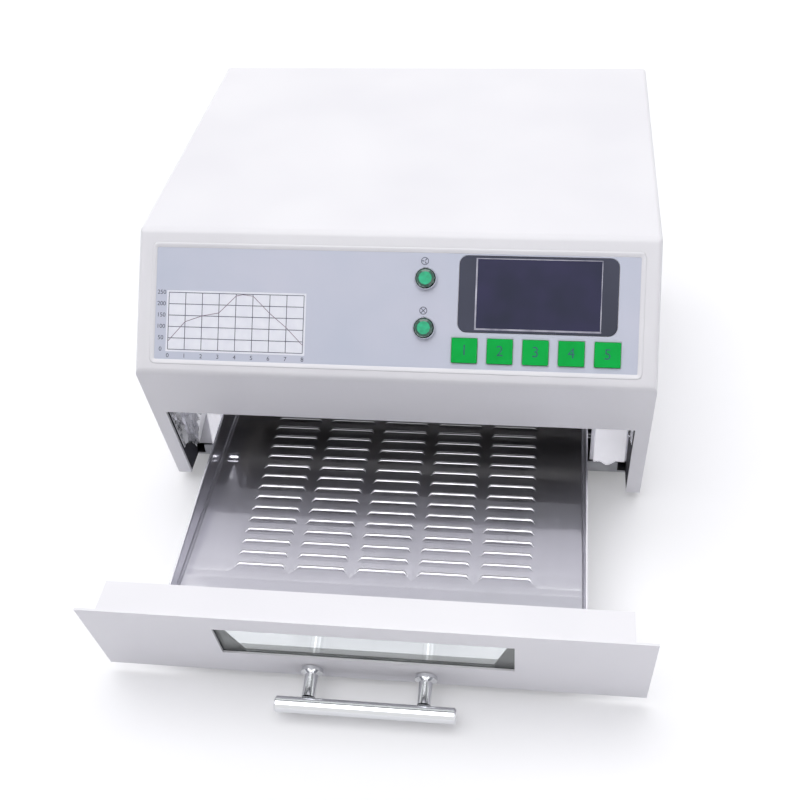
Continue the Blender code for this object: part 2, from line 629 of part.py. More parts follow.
def make_heaters(case, quartz, ceramic):
    """Quartz heater tubes with ceramic ends, held at each end in a ceramic rack on the liner's wall."""
    rack_face = LINER_HALF - SEAT_GAP
    half = rack_face - RACK_THICKNESS / 2
    cap = half - TUBE_CAP_LENGTH
    profile = [(0, -half), (TUBE_CAP_RADIUS, -half), (TUBE_CAP_RADIUS, -cap), (TUBE_RADIUS, -cap),
               (TUBE_RADIUS, cap), (TUBE_CAP_RADIUS, cap), (TUBE_CAP_RADIUS, half), (0, half)]
    for number, y in enumerate(tube_ys(), 1):
        place(f"heater_tube_{number}", turned(profile, 16), quartz, case, (0, y, TUBE_Z),
              (0, math.radians(90), 0), smooth=True)
    first, last = tube_ys()[0], tube_ys()[-1]
    end = RACK_HEIGHT / 2
    for side, sign in (("left", -1), ("right", 1)):
        low = min(sign * rack_face, sign * (rack_face - RACK_THICKNESS))
        rack = place(f"tube_rack_{side}", box((low, first - end, TUBE_Z - RACK_HEIGHT / 2),
                                              (low + RACK_THICKNESS, last + end, TUBE_Z + RACK_HEIGHT / 2)),
                     ceramic, case)
        ends = sorted((-sign * CUT_MARGIN, sign * (RACK_THICKNESS / 2 + SEAT_GAP)))
        for y in tube_ys():
            bore = swung(cylinder(TUBE_CAP_RADIUS + SEAT_GAP, *ends, 16), math.radians(90), "Y")
            cut(rack, bore, case, (sign * (rack_face - RACK_THICKNESS), y, TUBE_Z))


def make_probes(case, finish):
    """Thermocouples through the sides of the chamber."""
    tip = LINER_HALF - PROBE_REACH
    root = JACKET_HALF + CUT_MARGIN
    for (sign, y), side in zip(probe_places(), ("left", "right")):
        place(f"thermocouple_{side}", cylinder(PROBE_RADIUS, tip, root, 12), finish, case,
              (0, y, PROBE_Z), (0, sign * math.radians(90), 0), smooth=True)


def make_foil(case, finish):
    """Heat-reflecting foil on the jambs' returns, from just behind the chin to the bulkhead."""
    fronts = [behind_chin(z, HOOD_SHEET) + FOIL_SETBACK for z in (FOIL_BOTTOM, FOIL_TOP)]
    back = BULKHEAD_Y - SEAT_GAP
    outline = [(fronts[0], FOIL_BOTTOM), (back, FOIL_BOTTOM), (back, FOIL_TOP), (fronts[1], FOIL_TOP)]
    for side, sign in (("left", -1), ("right", 1)):
        outer = sign * (RETURN_FACE - SEAT_GAP)
        inner = sign * (RETURN_FACE - SEAT_GAP - FOIL_THICKNESS)
        place(f"foil_liner_{side}", prism(outline, *sorted((outer, inner))), finish, case)


def make_rails(case, finish):
    """C-channels on the chamber walls that the tray's runners slide in."""
    top = TRAY_FLOOR_Z + TRAY_WALL
    low = top - TRAY_SHEET - RUNNING_GAP
    high = top + RUNNING_GAP
    web = LINER_HALF - SEAT_GAP - RAIL_SHEET
    lip = TRAY_SIDE_HALF + RUNNING_GAP
    for side, sign in (("left", -1), ("right", 1)):
        path = [(sign * lip, low), (sign * web, low), (sign * web, high), (sign * lip, high)]
        outline = folded(path, -sign * RAIL_SHEET)
        place(f"guide_rail_{side}", prism(outline, CHAMBER_Y, CHAMBER_BACK - CHAMBER_SHEET - SEAT_GAP, "Y"),
              finish, case)


# Control fascia
def make_overlay(fascia, finish):
    """Printed polyester sheet in the fascia's recess, with holes for the display, lamps and keys."""
    middle = -(OVERLAY_TOP + OVERLAY_HEIGHT / 2)
    outline = shifted(rectangle(2 * OVERLAY_HALF, OVERLAY_HEIGHT), 0, middle)
    face = -OVERLAY_SUNK
    overlay = place("control_overlay", prism(outline, face - OVERLAY_SHEET, face, "Z"), finish, fascia)
    window = rounded_rectangle(LENS_WIDTH + 2 * SEAT_GAP, LENS_HEIGHT + 2 * SEAT_GAP, LENS_RADIUS + SEAT_GAP)
    holes = [shifted(window, LENS_X, -(LENS_TOP + LENS_HEIGHT / 2))]
    for drop in LAMP_DROPS:
        holes.append(circle(LAMP_BARREL_RADIUS + 2 * SEAT_GAP, LAMP_X, -drop))
    for x in KEY_XS:
        holes.append(shifted(rectangle(KEY_WIDTH + 2 * SEAT_GAP, KEY_HEIGHT + 2 * SEAT_GAP), x, -KEY_DROP))
    for hole in holes:
        cut(overlay, prism(hole, face - OVERLAY_SHEET - CUT_MARGIN, CUT_MARGIN, "Z"), fascia)


def make_display(fascia, lens_finish, frame_finish):
    """Smoked lens over a graphic display module that stands in the fascia's window."""
    centre = (LENS_X, -(LENS_TOP + LENS_HEIGHT / 2), 0)
    lens_back = -OVERLAY_RECESS + SEAT_GAP
    lens = rounded_rectangle(LENS_WIDTH, LENS_HEIGHT, LENS_RADIUS)
    place("display_lens", prism(lens, lens_back, -OVERLAY_SUNK + LENS_PROUD, "Z"), lens_finish, fascia, centre)
    front = lens_back - SEAT_GAP
    back = -HOOD_SHEET - SEAT_GAP
    module = place("display_module", prism(rectangle(LENS_WIDTH, SCREEN_HEIGHT + 4 * HOOD_SHEET),
                                           -LCD_DEPTH - HOOD_SHEET, back, "Z"), frame_finish, fascia, centre)
    join(module, prism(rectangle(SCREEN_WIDTH, SCREEN_HEIGHT), back - HOOD_SHEET, front, "Z"), fascia, centre)


def make_lamps(fascia, bezel_finish, lens_finish):
    """Two panel lamps: a turned bezel with a barrel through the fascia, and a faceted lens in it."""
    seat = -OVERLAY_SUNK + SEAT_GAP
    pocket = seat - LAMP_HEIGHT
    bezel = [(0, -LAMP_BARREL), (LAMP_BARREL_RADIUS, -LAMP_BARREL), (LAMP_BARREL_RADIUS, seat),
             (LAMP_BEZEL_RADIUS, seat), (LAMP_BEZEL_RADIUS, seat + LAMP_HEIGHT * 0.5),
             (LAMP_LENS_RADIUS + 3 * SEAT_GAP, seat + LAMP_HEIGHT),
             (LAMP_LENS_RADIUS + SEAT_GAP, seat + LAMP_HEIGHT * 0.8),
             (LAMP_LENS_RADIUS + SEAT_GAP, pocket), (0, pocket)]
    lens = [(0, pocket + SEAT_GAP), (LAMP_LENS_RADIUS, pocket + SEAT_GAP),
            (LAMP_LENS_RADIUS, seat + LAMP_HEIGHT * 0.7),
            (LAMP_LENS_RADIUS * 0.72, seat + LAMP_HEIGHT * 1.25), (0, seat + LAMP_HEIGHT * 1.35)]
    for name, drop in zip(("upper", "lower"), LAMP_DROPS):
        place(f"{name}_lamp_bezel", turned(bezel, 18), bezel_finish, fascia, (LAMP_X, -drop, 0), smooth=True)
        place(f"{name}_lamp_lens", turned(lens, 12), lens_finish, fascia, (LAMP_X, -drop, 0))


def make_keys(fascia, finish):
    """Five keys, each a thin cap over the overlay's hole and a stem down to its switch."""
    low = KEY_PROUD - KEY_CAP
    tip = -BOARD_DEPTH + switch_height() + KEY_TRAVEL + SEAT_GAP
    for number, x in enumerate(KEY_XS, 1):
        cap = rounded_rectangle(KEY_WIDTH, KEY_HEIGHT, KEY_CAP / 2, 2)
        key = place(f"key_{number}", prism(cap, low, KEY_PROUD, "Z"), finish, fascia, (x, -KEY_DROP, 0))
        join(key, prism(rectangle(KEY_STEM, KEY_STEM), tip, low + KEY_CAP / 2, "Z"), fascia, (x, -KEY_DROP, 0))


def switch_height():
    """Height of a tact switch on the board, which leaves the stems most of the space in front of it."""
    return BOARD_SHEET


def make_board(fascia, board_finish, post_finish):
    """Control board behind the fascia on four standoffs, with a tact switch behind each key."""
    left = LAMP_X + LAMP_BEZEL_RADIUS + STANDOFF_RADIUS
    right = OVERLAY_HALF - BOARD_MARGIN / 2
    top = -OVERLAY_TOP + BOARD_MARGIN / 2
    bottom = -KEY_DROP - KEY_HEIGHT / 2 - BOARD_MARGIN / 2
    board = place("control_board", box((left, bottom, -BOARD_DEPTH - BOARD_SHEET), (right, top, -BOARD_DEPTH)),
                  board_finish, fascia)
    for x in KEY_XS:
        low = -BOARD_DEPTH - BOARD_SHEET / 2
        switch = shifted(rectangle(SWITCH_SIDE, SWITCH_SIDE), x, -KEY_DROP)
        join(board, prism(switch, low, -BOARD_DEPTH + switch_height(), "Z"), fascia)
    inset = STANDOFF_RADIUS + SEAT_GAP
    corners = [(left + inset, top - inset), (right - inset, top - inset),
               (left + inset, bottom + inset), (right - inset, bottom + inset)]
    for number, (x, y) in enumerate(corners, 1):
        place(f"board_standoff_{number}", cylinder(STANDOFF_RADIUS, -BOARD_DEPTH + SEAT_GAP,
                                                   -HOOD_SHEET - SEAT_GAP, 12),
              post_finish, fascia, (x, y, 0), smooth=True)


# Rear fittings
def make_fan(case, frame_finish, rotor_finish, guard_finish):
    """Axial fan behind the rear panel: square frame with a motor spider, rotor, and a ring guard outside."""
    front = REAR_INNER - SEAT_GAP - FAN_DEPTH
    back = REAR_INNER - SEAT_GAP
    axis = empty("fan_axis", case, (FAN_X, front, FAN_Z), (math.radians(-90), 0, 0))
    frame = place("fan_frame", prism(rounded_rectangle(FAN_SIDE, FAN_SIDE, 0.004, 2), 0, back - front, "Z"),
                  frame_finish, axis)
    cut(frame, cylinder(FAN_BORE, -CUT_MARGIN, FAN_DEPTH + CUT_MARGIN, 40), axis)
    join(frame, cylinder(FAN_HUB_RADIUS, FAN_DEPTH - 2 * FAN_STRUT, FAN_DEPTH, 24), axis)
    for i in range(3):
        strut = box((FAN_HUB_RADIUS - FAN_STRUT, -FAN_STRUT / 2, FAN_DEPTH - FAN_STRUT),
                    (FAN_BORE + FAN_STRUT, FAN_STRUT / 2, FAN_DEPTH - FAN_STRUT / 4))
        join(frame, strut, axis, rotation=(0, 0, math.radians(120 * i + 30)))
    hub_top = FAN_DEPTH - 2 * FAN_STRUT - RUNNING_GAP
    hub_low = FAN_STRUT
    rotor = place("fan_rotor", turned([(0, hub_low), (FAN_HUB_RADIUS * 0.9, hub_low),
                                       (FAN_HUB_RADIUS, hub_low + FAN_STRUT / 2),
                                       (FAN_HUB_RADIUS, hub_top), (0, hub_top)], 28), rotor_finish, axis)
    for i in range(FAN_BLADES):
        join(rotor, fan_blade(), axis, (0, 0, (hub_low + hub_top) / 2), (0, 0, math.tau * i / FAN_BLADES))
    guard = empty("guard_axis", case, (FAN_X, CASE_DEPTH + SEAT_GAP, FAN_Z), (math.radians(-90), 0, 0))
    outer = FAN_BORE + GUARD_WIRE
    pitch = outer / GUARD_RINGS
    wires = place("fan_guard", cylinder(pitch / 2, 0, GUARD_WIRE, 20), guard_finish, guard)
    for i in range(1, GUARD_RINGS + 1):
        ring = [(pitch * i - GUARD_WIRE / 2, 0), (pitch * i + GUARD_WIRE / 2, 0),
                (pitch * i + GUARD_WIRE / 2, GUARD_WIRE), (pitch * i - GUARD_WIRE / 2, GUARD_WIRE)]
        join(wires, turned(ring, 32), guard)
    for i in range(4):
        spoke = box((0, -GUARD_WIRE / 2, GUARD_WIRE / 8), (outer, GUARD_WIRE / 2, GUARD_WIRE * 7 / 8))
        join(wires, spoke, guard, rotation=(0, 0, math.radians(90 * i + 45)))


def fan_blade():
    """A flat blade, pitched about its own length, from inside the hub to just short of the frame's bore."""
    half_chord = FAN_BLADE_CHORD / 2
    root = FAN_HUB_RADIUS * 0.8
    reach = FAN_BORE - FAN_TIP_GAP
    tip = math.sqrt(reach ** 2 - half_chord ** 2)
    blade = box((root, -half_chord, -FAN_BLADE_SHEET / 2), (tip, half_chord, FAN_BLADE_SHEET / 2))
    return swung(blade, FAN_BLADE_PITCH, "X")


def make_inlet(case, finish):
    """Mains inlet: screw flange outside the rear panel, body through it, and a socket with three pins."""
    place_at = empty("inlet_axis", case, (INLET_X, CASE_DEPTH, INLET_Z), (math.radians(-90), 0, 0))
    flange = rounded_rectangle(INLET_WIDTH, INLET_HEIGHT, 0.004, 3)
    face = SEAT_GAP + INLET_FLANGE
    inlet = place("power_inlet", prism(flange, SEAT_GAP, face, "Z"), finish, place_at)
    join(inlet, prism(rectangle(INLET_BODY_WIDTH, INLET_BODY_HEIGHT), -INLET_BODY_DEPTH,
                      face - INLET_FLANGE / 2, "Z"), place_at)
    recess = rounded_rectangle(INLET_BODY_WIDTH - 2 * INLET_WALL, INLET_BODY_HEIGHT - 2 * INLET_WALL, 0.004, 3)
    cut(inlet, prism(recess, face - INLET_RECESS_DEPTH, face + CUT_MARGIN, "Z"), place_at)
    floor = face - INLET_RECESS_DEPTH
    for x, y in ((-PIN_SPREAD, PIN_HEIGHT / 2), (0, -PIN_HEIGHT / 2), (PIN_SPREAD, PIN_HEIGHT / 2)):
        pin = shifted(rectangle(PIN_WIDTH, PIN_HEIGHT), x, y)
        join(inlet, prism(pin, floor - INLET_WALL / 2, floor + PIN_LENGTH, "Z"), place_at)


def make_switch(case, frame_finish, rocker_finish):
    """Mains rocker switch: a frame snapped into the rear panel and a rocker on a cross axis."""
    seat = empty("switch_axis", case, (INLET_X, CASE_DEPTH, SWITCH_Z), (math.radians(-90), 0, 0))
    face = SEAT_GAP + SWITCH_FLANGE
    frame = place("switch_frame", prism(rounded_rectangle(SWITCH_WIDTH + SWITCH_RIM, SWITCH_HEIGHT + SWITCH_RIM,
                                                          0.001, 2), SEAT_GAP, face, "Z"), frame_finish, seat)
    join(frame, prism(rectangle(SWITCH_WIDTH - SWITCH_RIM, SWITCH_HEIGHT - SWITCH_RIM), -SWITCH_BODY_DEPTH,
                      face - SWITCH_FLANGE / 2, "Z"), seat)
    half_width = SWITCH_WIDTH / 2 - SWITCH_RIM
    half_height = SWITCH_HEIGHT / 2 - SWITCH_RIM
    well = -SWITCH_BODY_DEPTH + SWITCH_FLANGE
    cut(frame, prism(rectangle(2 * half_width, 2 * half_height), well, face + CUT_MARGIN, "Z"), seat)
    rest = -ROCKER_SWING / 2
    pivot = empty("rocker_pivot", seat, (0, 0, 0))
    outline = rocker_outline(half_height, rest)
    inside = half_width - SEAT_GAP
    rocker = place("switch_rocker", prism(outline, -inside, inside), rocker_finish, pivot)
    join(rocker, swung(cylinder(PIN_WIDTH / 2 + SEAT_GAP, -half_width - SEAT_GAP, half_width + SEAT_GAP, 12),
                       math.radians(90), "Y"), pivot)
    cut(frame, swung(cylinder(PIN_WIDTH / 2 + 2 * SEAT_GAP, -half_width - 3 * SEAT_GAP,
                              half_width + 3 * SEAT_GAP, 12), math.radians(90), "Y"), seat)


def rocker_outline(half_height, tilt):
    """Side view of the rocker about its pivot: a shallow V of a face and a round back, turned by its tilt."""
    reach = half_height - 3 * SEAT_GAP
    crest = SWITCH_FLANGE + reach * math.tan(ROCKER_SWING / 2)
    back = [(-reach * 0.8, -SWITCH_FLANGE), (reach * 0.8, -SWITCH_FLANGE)]
    face = [(reach, SWITCH_FLANGE / 2), (reach, crest), (0, SWITCH_FLANGE), (-reach, crest),
            (-reach, SWITCH_FLANGE / 2)]
    turn = Matrix.Rotation(tilt, 2)
    return [tuple(turn @ Vector(p)) for p in back + face]


def make_deck_parts(case, iron, black):
    """Low-voltage transformer and relay module on the jacket's top."""
    deck = JACKET_TOP + SEAT_GAP
    width, depth, height = TRANSFORMER_SIZE
    core = place("transformer", box((-width / 2, -depth / 4, 0), (width / 2, depth / 4, height)), iron, case,
                 (TRANSFORMER_X, TRANSFORMER_Y, deck))
    join(core, box((-width / 3, -depth / 2, height / 5), (width / 3, depth / 2, height * 4 / 5)), case,
         (TRANSFORMER_X, TRANSFORMER_Y, deck))
    width, depth, height = RELAY_SIZE
    place("relay_module", box((-width / 2, -depth / 2, 0), (width / 2, depth / 2, height)), black, case,
          (RELAY_X, RELAY_Y, deck))


# Drawer
def make_drawer_front(drawer, plate_plane, finish):
    """Slanted plate with a narrower flange folded back along its top, and a gusset at each end."""
    foot = (PLATE_LENGTH * PLATE_SLOPE_Y, PLATE_LENGTH * PLATE_SLOPE_Z)
    front = place("drawer_front", prism(folded([foot, (0, 0)], -DRAWER_SHEET), -PLATE_HALF, PLATE_HALF),
                  finish, drawer)
    start = DRAWER_SHEET / 2
    flange = [(start, 0), (FLANGE_DEPTH, 0), (FLANGE_DEPTH, -FLANGE_LIP)]
    join(front, prism(folded(flange, -DRAWER_SHEET), -FLANGE_HALF, FLANGE_HALF), drawer)
    low = -GUSSET_HEIGHT
    meets = GUSSET_HEIGHT * math.tan(CHIN_LEAN) + DRAWER_SHEET / 2
    gusset = [(start + DRAWER_SHEET / 2, -DRAWER_SHEET / 3), (FLANGE_DEPTH - DRAWER_SHEET / 3, -DRAWER_SHEET / 3),
              (FLANGE_DEPTH - DRAWER_SHEET / 3, low), (meets, low)]
    inset = DRAWER_SHEET / 3
    for sign in (-1, 1):
        ends = sorted((sign * (FLANGE_HALF - inset), sign * (FLANGE_HALF - inset - DRAWER_SHEET)))
        join(front, prism(gusset, *ends), drawer)
    window = shifted(rectangle(WINDOW_WIDTH, WINDOW_HEIGHT), 0, -(WINDOW_TOP + WINDOW_HEIGHT / 2))
    cut(front, prism(window, -DRAWER_SHEET - CUT_MARGIN, CUT_MARGIN, "Z"), plate_plane)
    for x in (-HANDLE_SPACING / 2, HANDLE_SPACING / 2):
        hole = circle(screw_radius() + SEAT_GAP, x, -HANDLE_DROP, 16)
        cut(front, prism(hole, -DRAWER_SHEET - CUT_MARGIN, CUT_MARGIN, "Z"), plate_plane)


def screw_radius():
    return POST_RADIUS / 2


def make_window(plate_plane, glass_finish, frame_finish):
    """Heat-proof glass behind the window and the frame that holds it against the plate."""
    centre = (0, -(WINDOW_TOP + WINDOW_HEIGHT / 2), 0)
    front = -DRAWER_SHEET - SEAT_GAP
    back = front - GLASS_THICKNESS
    width, height = WINDOW_WIDTH + 2 * GLASS_BORDER, WINDOW_HEIGHT + 2 * GLASS_BORDER
    place("window_glass", prism(rectangle(width, height), back, front, "Z"), glass_finish, plate_plane, centre)
    frame = place("window_frame", prism(rectangle(width, height), back - SEAT_GAP - FRAME_THICKNESS,
                                        back - SEAT_GAP, "Z"), frame_finish, plate_plane, centre)
    opening = rectangle(WINDOW_WIDTH - 2 * FRAME_OPENING_INSET, WINDOW_HEIGHT - FRAME_OPENING_INSET)
    cut(frame, prism(opening, back - FRAME_THICKNESS - CUT_MARGIN, back + CUT_MARGIN, "Z"), plate_plane, centre)


def make_handle(plate_plane, chrome, zinc):
    """Bar handle on two posts below the window, each held by a screw from behind the plate."""
    bar = [(0, -HANDLE_LENGTH / 2), (HANDLE_BAR_RADIUS * 0.8, -HANDLE_LENGTH / 2),
           (HANDLE_BAR_RADIUS, -HANDLE_LENGTH / 2 + HANDLE_BAR_RADIUS * 0.2),
           (HANDLE_BAR_RADIUS, HANDLE_LENGTH / 2 - HANDLE_BAR_RADIUS * 0.2),
           (HANDLE_BAR_RADIUS * 0.8, HANDLE_LENGTH / 2), (0, HANDLE_LENGTH / 2)]
    place("handle_bar", turned(bar), chrome, plate_plane, (0, -HANDLE_DROP, HANDLE_REACH),
          (0, math.radians(90), 0), smooth=True)
    top = HANDLE_REACH - HANDLE_BAR_RADIUS - SEAT_GAP
    post = [(0, SEAT_GAP), (POST_COLLAR_RADIUS, SEAT_GAP), (POST_COLLAR_RADIUS, POST_COLLAR),
            (POST_RADIUS, POST_COLLAR * 1.6), (POST_RADIUS, top), (0, top)]
    inside = -DRAWER_SHEET - SEAT_GAP
    screw = [(0, inside - SCREW_HEAD), (SCREW_HEAD_RADIUS * 0.8, inside - SCREW_HEAD),
             (SCREW_HEAD_RADIUS, inside - SCREW_HEAD / 2), (SCREW_HEAD_RADIUS, inside),
             (screw_radius(), inside), (screw_radius(), 0), (0, 0)]
    for side, sign in (("left", -1), ("right", 1)):
        at = (sign * HANDLE_SPACING / 2, -HANDLE_DROP, 0)
        place(f"handle_post_{side}", turned(post), chrome, plate_plane, at, smooth=True)
        place(f"handle_screw_{side}", turned(screw, 16), zinc, plate_plane, at, smooth=True)


def louvre_lines():
    """Points of one louvre about its middle: near foot, raised rim and floor edge, from left to right."""
    end, bend = LOUVRE_LENGTH / 2, LOUVRE_WIDTH
    near, far = -LOUVRE_WIDTH / 2, LOUVRE_WIDTH / 2
    stations = [(-end, 0.0), (-end + bend * 0.30, 0.75), (-end + bend, 1.0),
                (end - bend, 1.0), (end - bend * 0.30, 0.75), (end, 0.0)]
    foot = [(x, far + (near - far) * rise, 0.0) for x, rise in stations]
    crown = [(x, far + (near - far) * rise * 0.42, LOUVRE_HEIGHT * rise * 0.78) for x, rise in stations]
    rim = [(x, far, LOUVRE_HEIGHT * rise) for x, rise in stations]
    edge = [(x, far + LOUVRE_SLIT * min(1.0, rise * 2), 0.0) for x, rise in stations]
    return foot, crown, rim, edge


def add_louvre(shape, centre, corners):
    """One louvre and the floor round it, inside a cell with four given corner vertices."""
    foot, crown, rim, edge = louvre_lines()

    def vertices(points):
        return [shape.verts.new(Vector(p) + Vector(centre)) for p in points]

    foot_v, crown_v, rim_v, edge_v = (vertices(line[1:-1]) for line in (foot, crown, rim, edge))
    left, right = vertices([rim[0], rim[-1]])
    near_left, near_right, far_right, far_left = corners
    shape.faces.new((near_left, near_right, right, *reversed(foot_v), left))
    shape.faces.new((far_right, far_left, left, *edge_v, right))
    shape.faces.new((near_left, left, far_left))
    shape.faces.new((near_right, far_right, right))
    for low, high in ((foot_v, crown_v), (crown_v, rim_v)):
        shape.faces.new((left, low[0], high[0]))
        for i in range(len(low) - 1):
            shape.faces.new((low[i], low[i + 1], high[i + 1], high[i]))
        shape.faces.new((low[-1], right, high[-1]))


def make_tray(drawer, finish):
    """Soldering tray: louvred floor, side walls with plates and runners welded on, and a rear lip."""
    front = tray_front_y()
    back = CHAMBER_BACK - CHAMBER_SHEET - TRAY_END_GAP - TRAY_SHEET - DRAWER_SHUT_Y
    floor_z = TRAY_FLOOR_Z - DRAWER_Z
    into_wall = TRAY_SHEET / 2
    edge = TRAY_HALF + into_wall
    rows = 1 + int((back - front - LOUVRE_FRONT - LOUVRE_BACK) / LOUVRE_PITCH_Y)
    field_half = LOUVRE_PITCH_X * LOUVRE_COLUMNS / 2
    field_front = front + LOUVRE_FRONT - LOUVRE_PITCH_Y / 2
    cuts_x = [-edge] + [LOUVRE_PITCH_X * i - field_half for i in range(LOUVRE_COLUMNS + 1)] + [edge]
    cuts_y = [front] + [field_front + LOUVRE_PITCH_Y * i for i in range(rows + 1)] + [back + into_wall]
    shape = bmesh.new()
    grid = [[shape.verts.new((x, y, floor_z)) for x in cuts_x] for y in cuts_y]
    for row in range(len(cuts_y) - 1):
        for column in range(len(cuts_x) - 1):
            corners = (grid[row][column], grid[row][column + 1], grid[row + 1][column + 1], grid[row + 1][column])
            if 1 <= row <= rows and 1 <= column <= LOUVRE_COLUMNS:
                add_louvre(shape, (corners[0].co + corners[2].co) / 2, corners)
            else:
                shape.faces.new(corners)
    grown = bmesh.ops.extrude_face_region(shape, geom=shape.faces[:])["geom"]
    bmesh.ops.translate(shape, vec=(0, 0, -TRAY_SHEET), verts=[v for v in grown if isinstance(v, bmesh.types.BMVert)])
    tray = place("drawer_tray", shape, finish, drawer)
    low = floor_z - TRAY_SHEET - into_wall
    rim = floor_z + TRAY_WALL
    for sign in (-1, 1):
        face = sign * TRAY_HALF
        wall = sorted((face, face + sign * TRAY_SHEET))
        join(tray, box((wall[0], front, low), (wall[1], back, rim)), drawer)
        weld = face + sign * into_wall
        plate_back, plate_low = back - into_wall, floor_z + TRAY_SHEET
        plate = [(front + into_wall, plate_low), (plate_back, plate_low),
                 (plate_back, TRAY_SIDE_BACK - DRAWER_Z), (front + into_wall, TRAY_SIDE_FRONT - DRAWER_Z)]
        join(tray, prism(plate, *sorted((weld, sign * TRAY_SIDE_HALF))), drawer)
        runner = sorted((sign * (TRAY_SIDE_HALF - into_wall), sign * RUNNER_HALF))
        runner_back = plate_back - into_wall
        join(tray, box((runner[0], runner_back - RUNNER_LENGTH, rim - TRAY_SHEET), (runner[1], runner_back, rim)),
             drawer)
    inner = TRAY_HALF + into_wall
    join(tray, box((-inner, back, low + into_wall / 2), (inner, back + TRAY_SHEET, floor_z + TRAY_REAR_LIP)), drawer)


def tray_front_y():
    """The tray's front edge stands just behind the window's frame, at the height of its floor."""
    behind_plate = (GLASS_THICKNESS + FRAME_THICKNESS + 2 * SEAT_GAP) / math.cos(CHIN_LEAN)
    return plate_back_y(DRAWER_Z - TRAY_FLOOR_Z + TRAY_SHEET) + behind_plate


def plate_back_y(drop):
    """Where a piece that touches the back of the drawer's plate stands, at a drop below its top edge."""
    return drop * math.tan(CHIN_LEAN) + (DRAWER_SHEET + SEAT_GAP) / math.cos(CHIN_LEAN)


def make_tray_brackets(drawer, finish):
    """Folded angles riveted under the tray's front edge and behind the plate."""
    top = DRAWER_Z - TRAY_FLOOR_Z + TRAY_SHEET + SEAT_GAP
    bend = (plate_back_y(top), -top)
    path = [(bend[0] + BRACKET_LEG, -top), bend,
            (bend[0] + BRACKET_LEG * PLATE_SLOPE_Y, -top + BRACKET_LEG * PLATE_SLOPE_Z)]
    for side, sign in (("left", -1), ("right", 1)):
        ends = sorted((sign * BRACKET_X, sign * (BRACKET_X + BRACKET_WIDTH)))
        place(f"tray_bracket_{side}", prism(folded(path, BRACKET_SHEET), *ends), finish, drawer)


def main():
    clear_scene()
    finishes = make_finishes()
    case = empty("case_frame", None, (0, CENTRING_Y, 0))
    fascia = empty("fascia_plane", case, (0, FASCIA_RUN, TOP_Z), (FASCIA_PITCH, 0, 0))
    drawer = empty("drawer_slide", case, (0, DRAWER_Y, DRAWER_Z))
    plate_plane = empty("plate_plane", drawer, (0, 0, 0), (PLATE_PITCH, 0, 0))
    make_hood(case, fascia, finishes["paint"])
    make_base_pan(case, finishes["paint"])
    make_feet(case, finishes["rubber"])
    make_rear_panel(case, finishes["paint"])
    make_bulkhead(case, finishes["liner_paint"])
    make_liner(case, finishes["stainless"])
    make_jacket(case, finishes["zinc"])
    make_reflector(case, finishes["stainless"])
    make_insulation(case, finishes["fibre"])
    make_heaters(case, finishes["quartz"], finishes["ceramic"])
    make_probes(case, finishes["stainless"])
    make_foil(case, finishes["foil"])
    make_rails(case, finishes["zinc"])
    make_overlay(fascia, finishes["overlay"])
    make_display(fascia, finishes["lens"], finishes["zinc"])
    make_lamps(fascia, finishes["chrome"], finishes["lamp"])
    make_keys(fascia, finishes["key"])
    make_board(fascia, finishes["board"], finishes["zinc"])
    make_fan(case, finishes["black"], finishes["black"], finishes["chrome"])
    make_inlet(case, finishes["black"])
    make_switch(case, finishes["black"], finishes["rocker"])
    make_deck_parts(case, finishes["iron"], finishes["black"])
    make_drawer_front(drawer, plate_plane, finishes["paint"])
    make_window(plate_plane, finishes["glass"], finishes["black"])
    make_handle(plate_plane, finishes["chrome"], finishes["zinc"])
    make_tray(drawer, finishes["stainless"])
    make_tray_brackets(drawer, finishes["zinc"])


main()
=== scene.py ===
import math

import bmesh
import bpy
from mathutils import Matrix, Vector, noise


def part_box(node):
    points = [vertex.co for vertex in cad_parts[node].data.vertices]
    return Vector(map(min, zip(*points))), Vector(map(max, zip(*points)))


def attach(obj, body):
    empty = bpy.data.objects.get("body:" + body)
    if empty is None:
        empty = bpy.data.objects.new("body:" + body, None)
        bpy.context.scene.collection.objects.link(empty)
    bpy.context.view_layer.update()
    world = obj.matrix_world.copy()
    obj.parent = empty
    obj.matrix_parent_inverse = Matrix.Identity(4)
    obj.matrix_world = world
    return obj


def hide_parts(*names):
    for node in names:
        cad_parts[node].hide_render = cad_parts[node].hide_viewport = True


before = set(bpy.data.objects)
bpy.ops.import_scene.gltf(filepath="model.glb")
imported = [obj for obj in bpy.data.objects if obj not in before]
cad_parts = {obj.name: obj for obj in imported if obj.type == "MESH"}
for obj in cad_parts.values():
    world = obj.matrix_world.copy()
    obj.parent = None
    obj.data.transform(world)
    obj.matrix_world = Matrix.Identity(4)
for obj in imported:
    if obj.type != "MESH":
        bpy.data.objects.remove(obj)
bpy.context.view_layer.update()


# Base pan: a shallow pan folded from galvanised steel sheet, with a lip all round that the hood is
# screwed to. It is left unpainted, so it is a dull grey with the faint crystals of the zinc.

def linear(hex_colour):
    """Linear RGBA of an sRGB hex colour."""
    shares = [int(hex_colour[i:i + 2], 16) / 255 for i in (0, 2, 4)]
    return [s / 12.92 if s <= 0.04045 else ((s + 0.055) / 1.055) ** 2.4 for s in shares] + [1.0]


def add_node(tree, kind, settings=None, links=None):
    """Adds a shader node, sets its properties and sockets, and links its inputs."""
    added = tree.nodes.new(kind)
    for key, value in (settings or {}).items():
        if isinstance(key, str) and hasattr(added, key):
            setattr(added, key, value)
        else:
            added.inputs[key].default_value = value
    for key, source in (links or {}).items():
        tree.links.new(source, added.inputs[key])
    return added


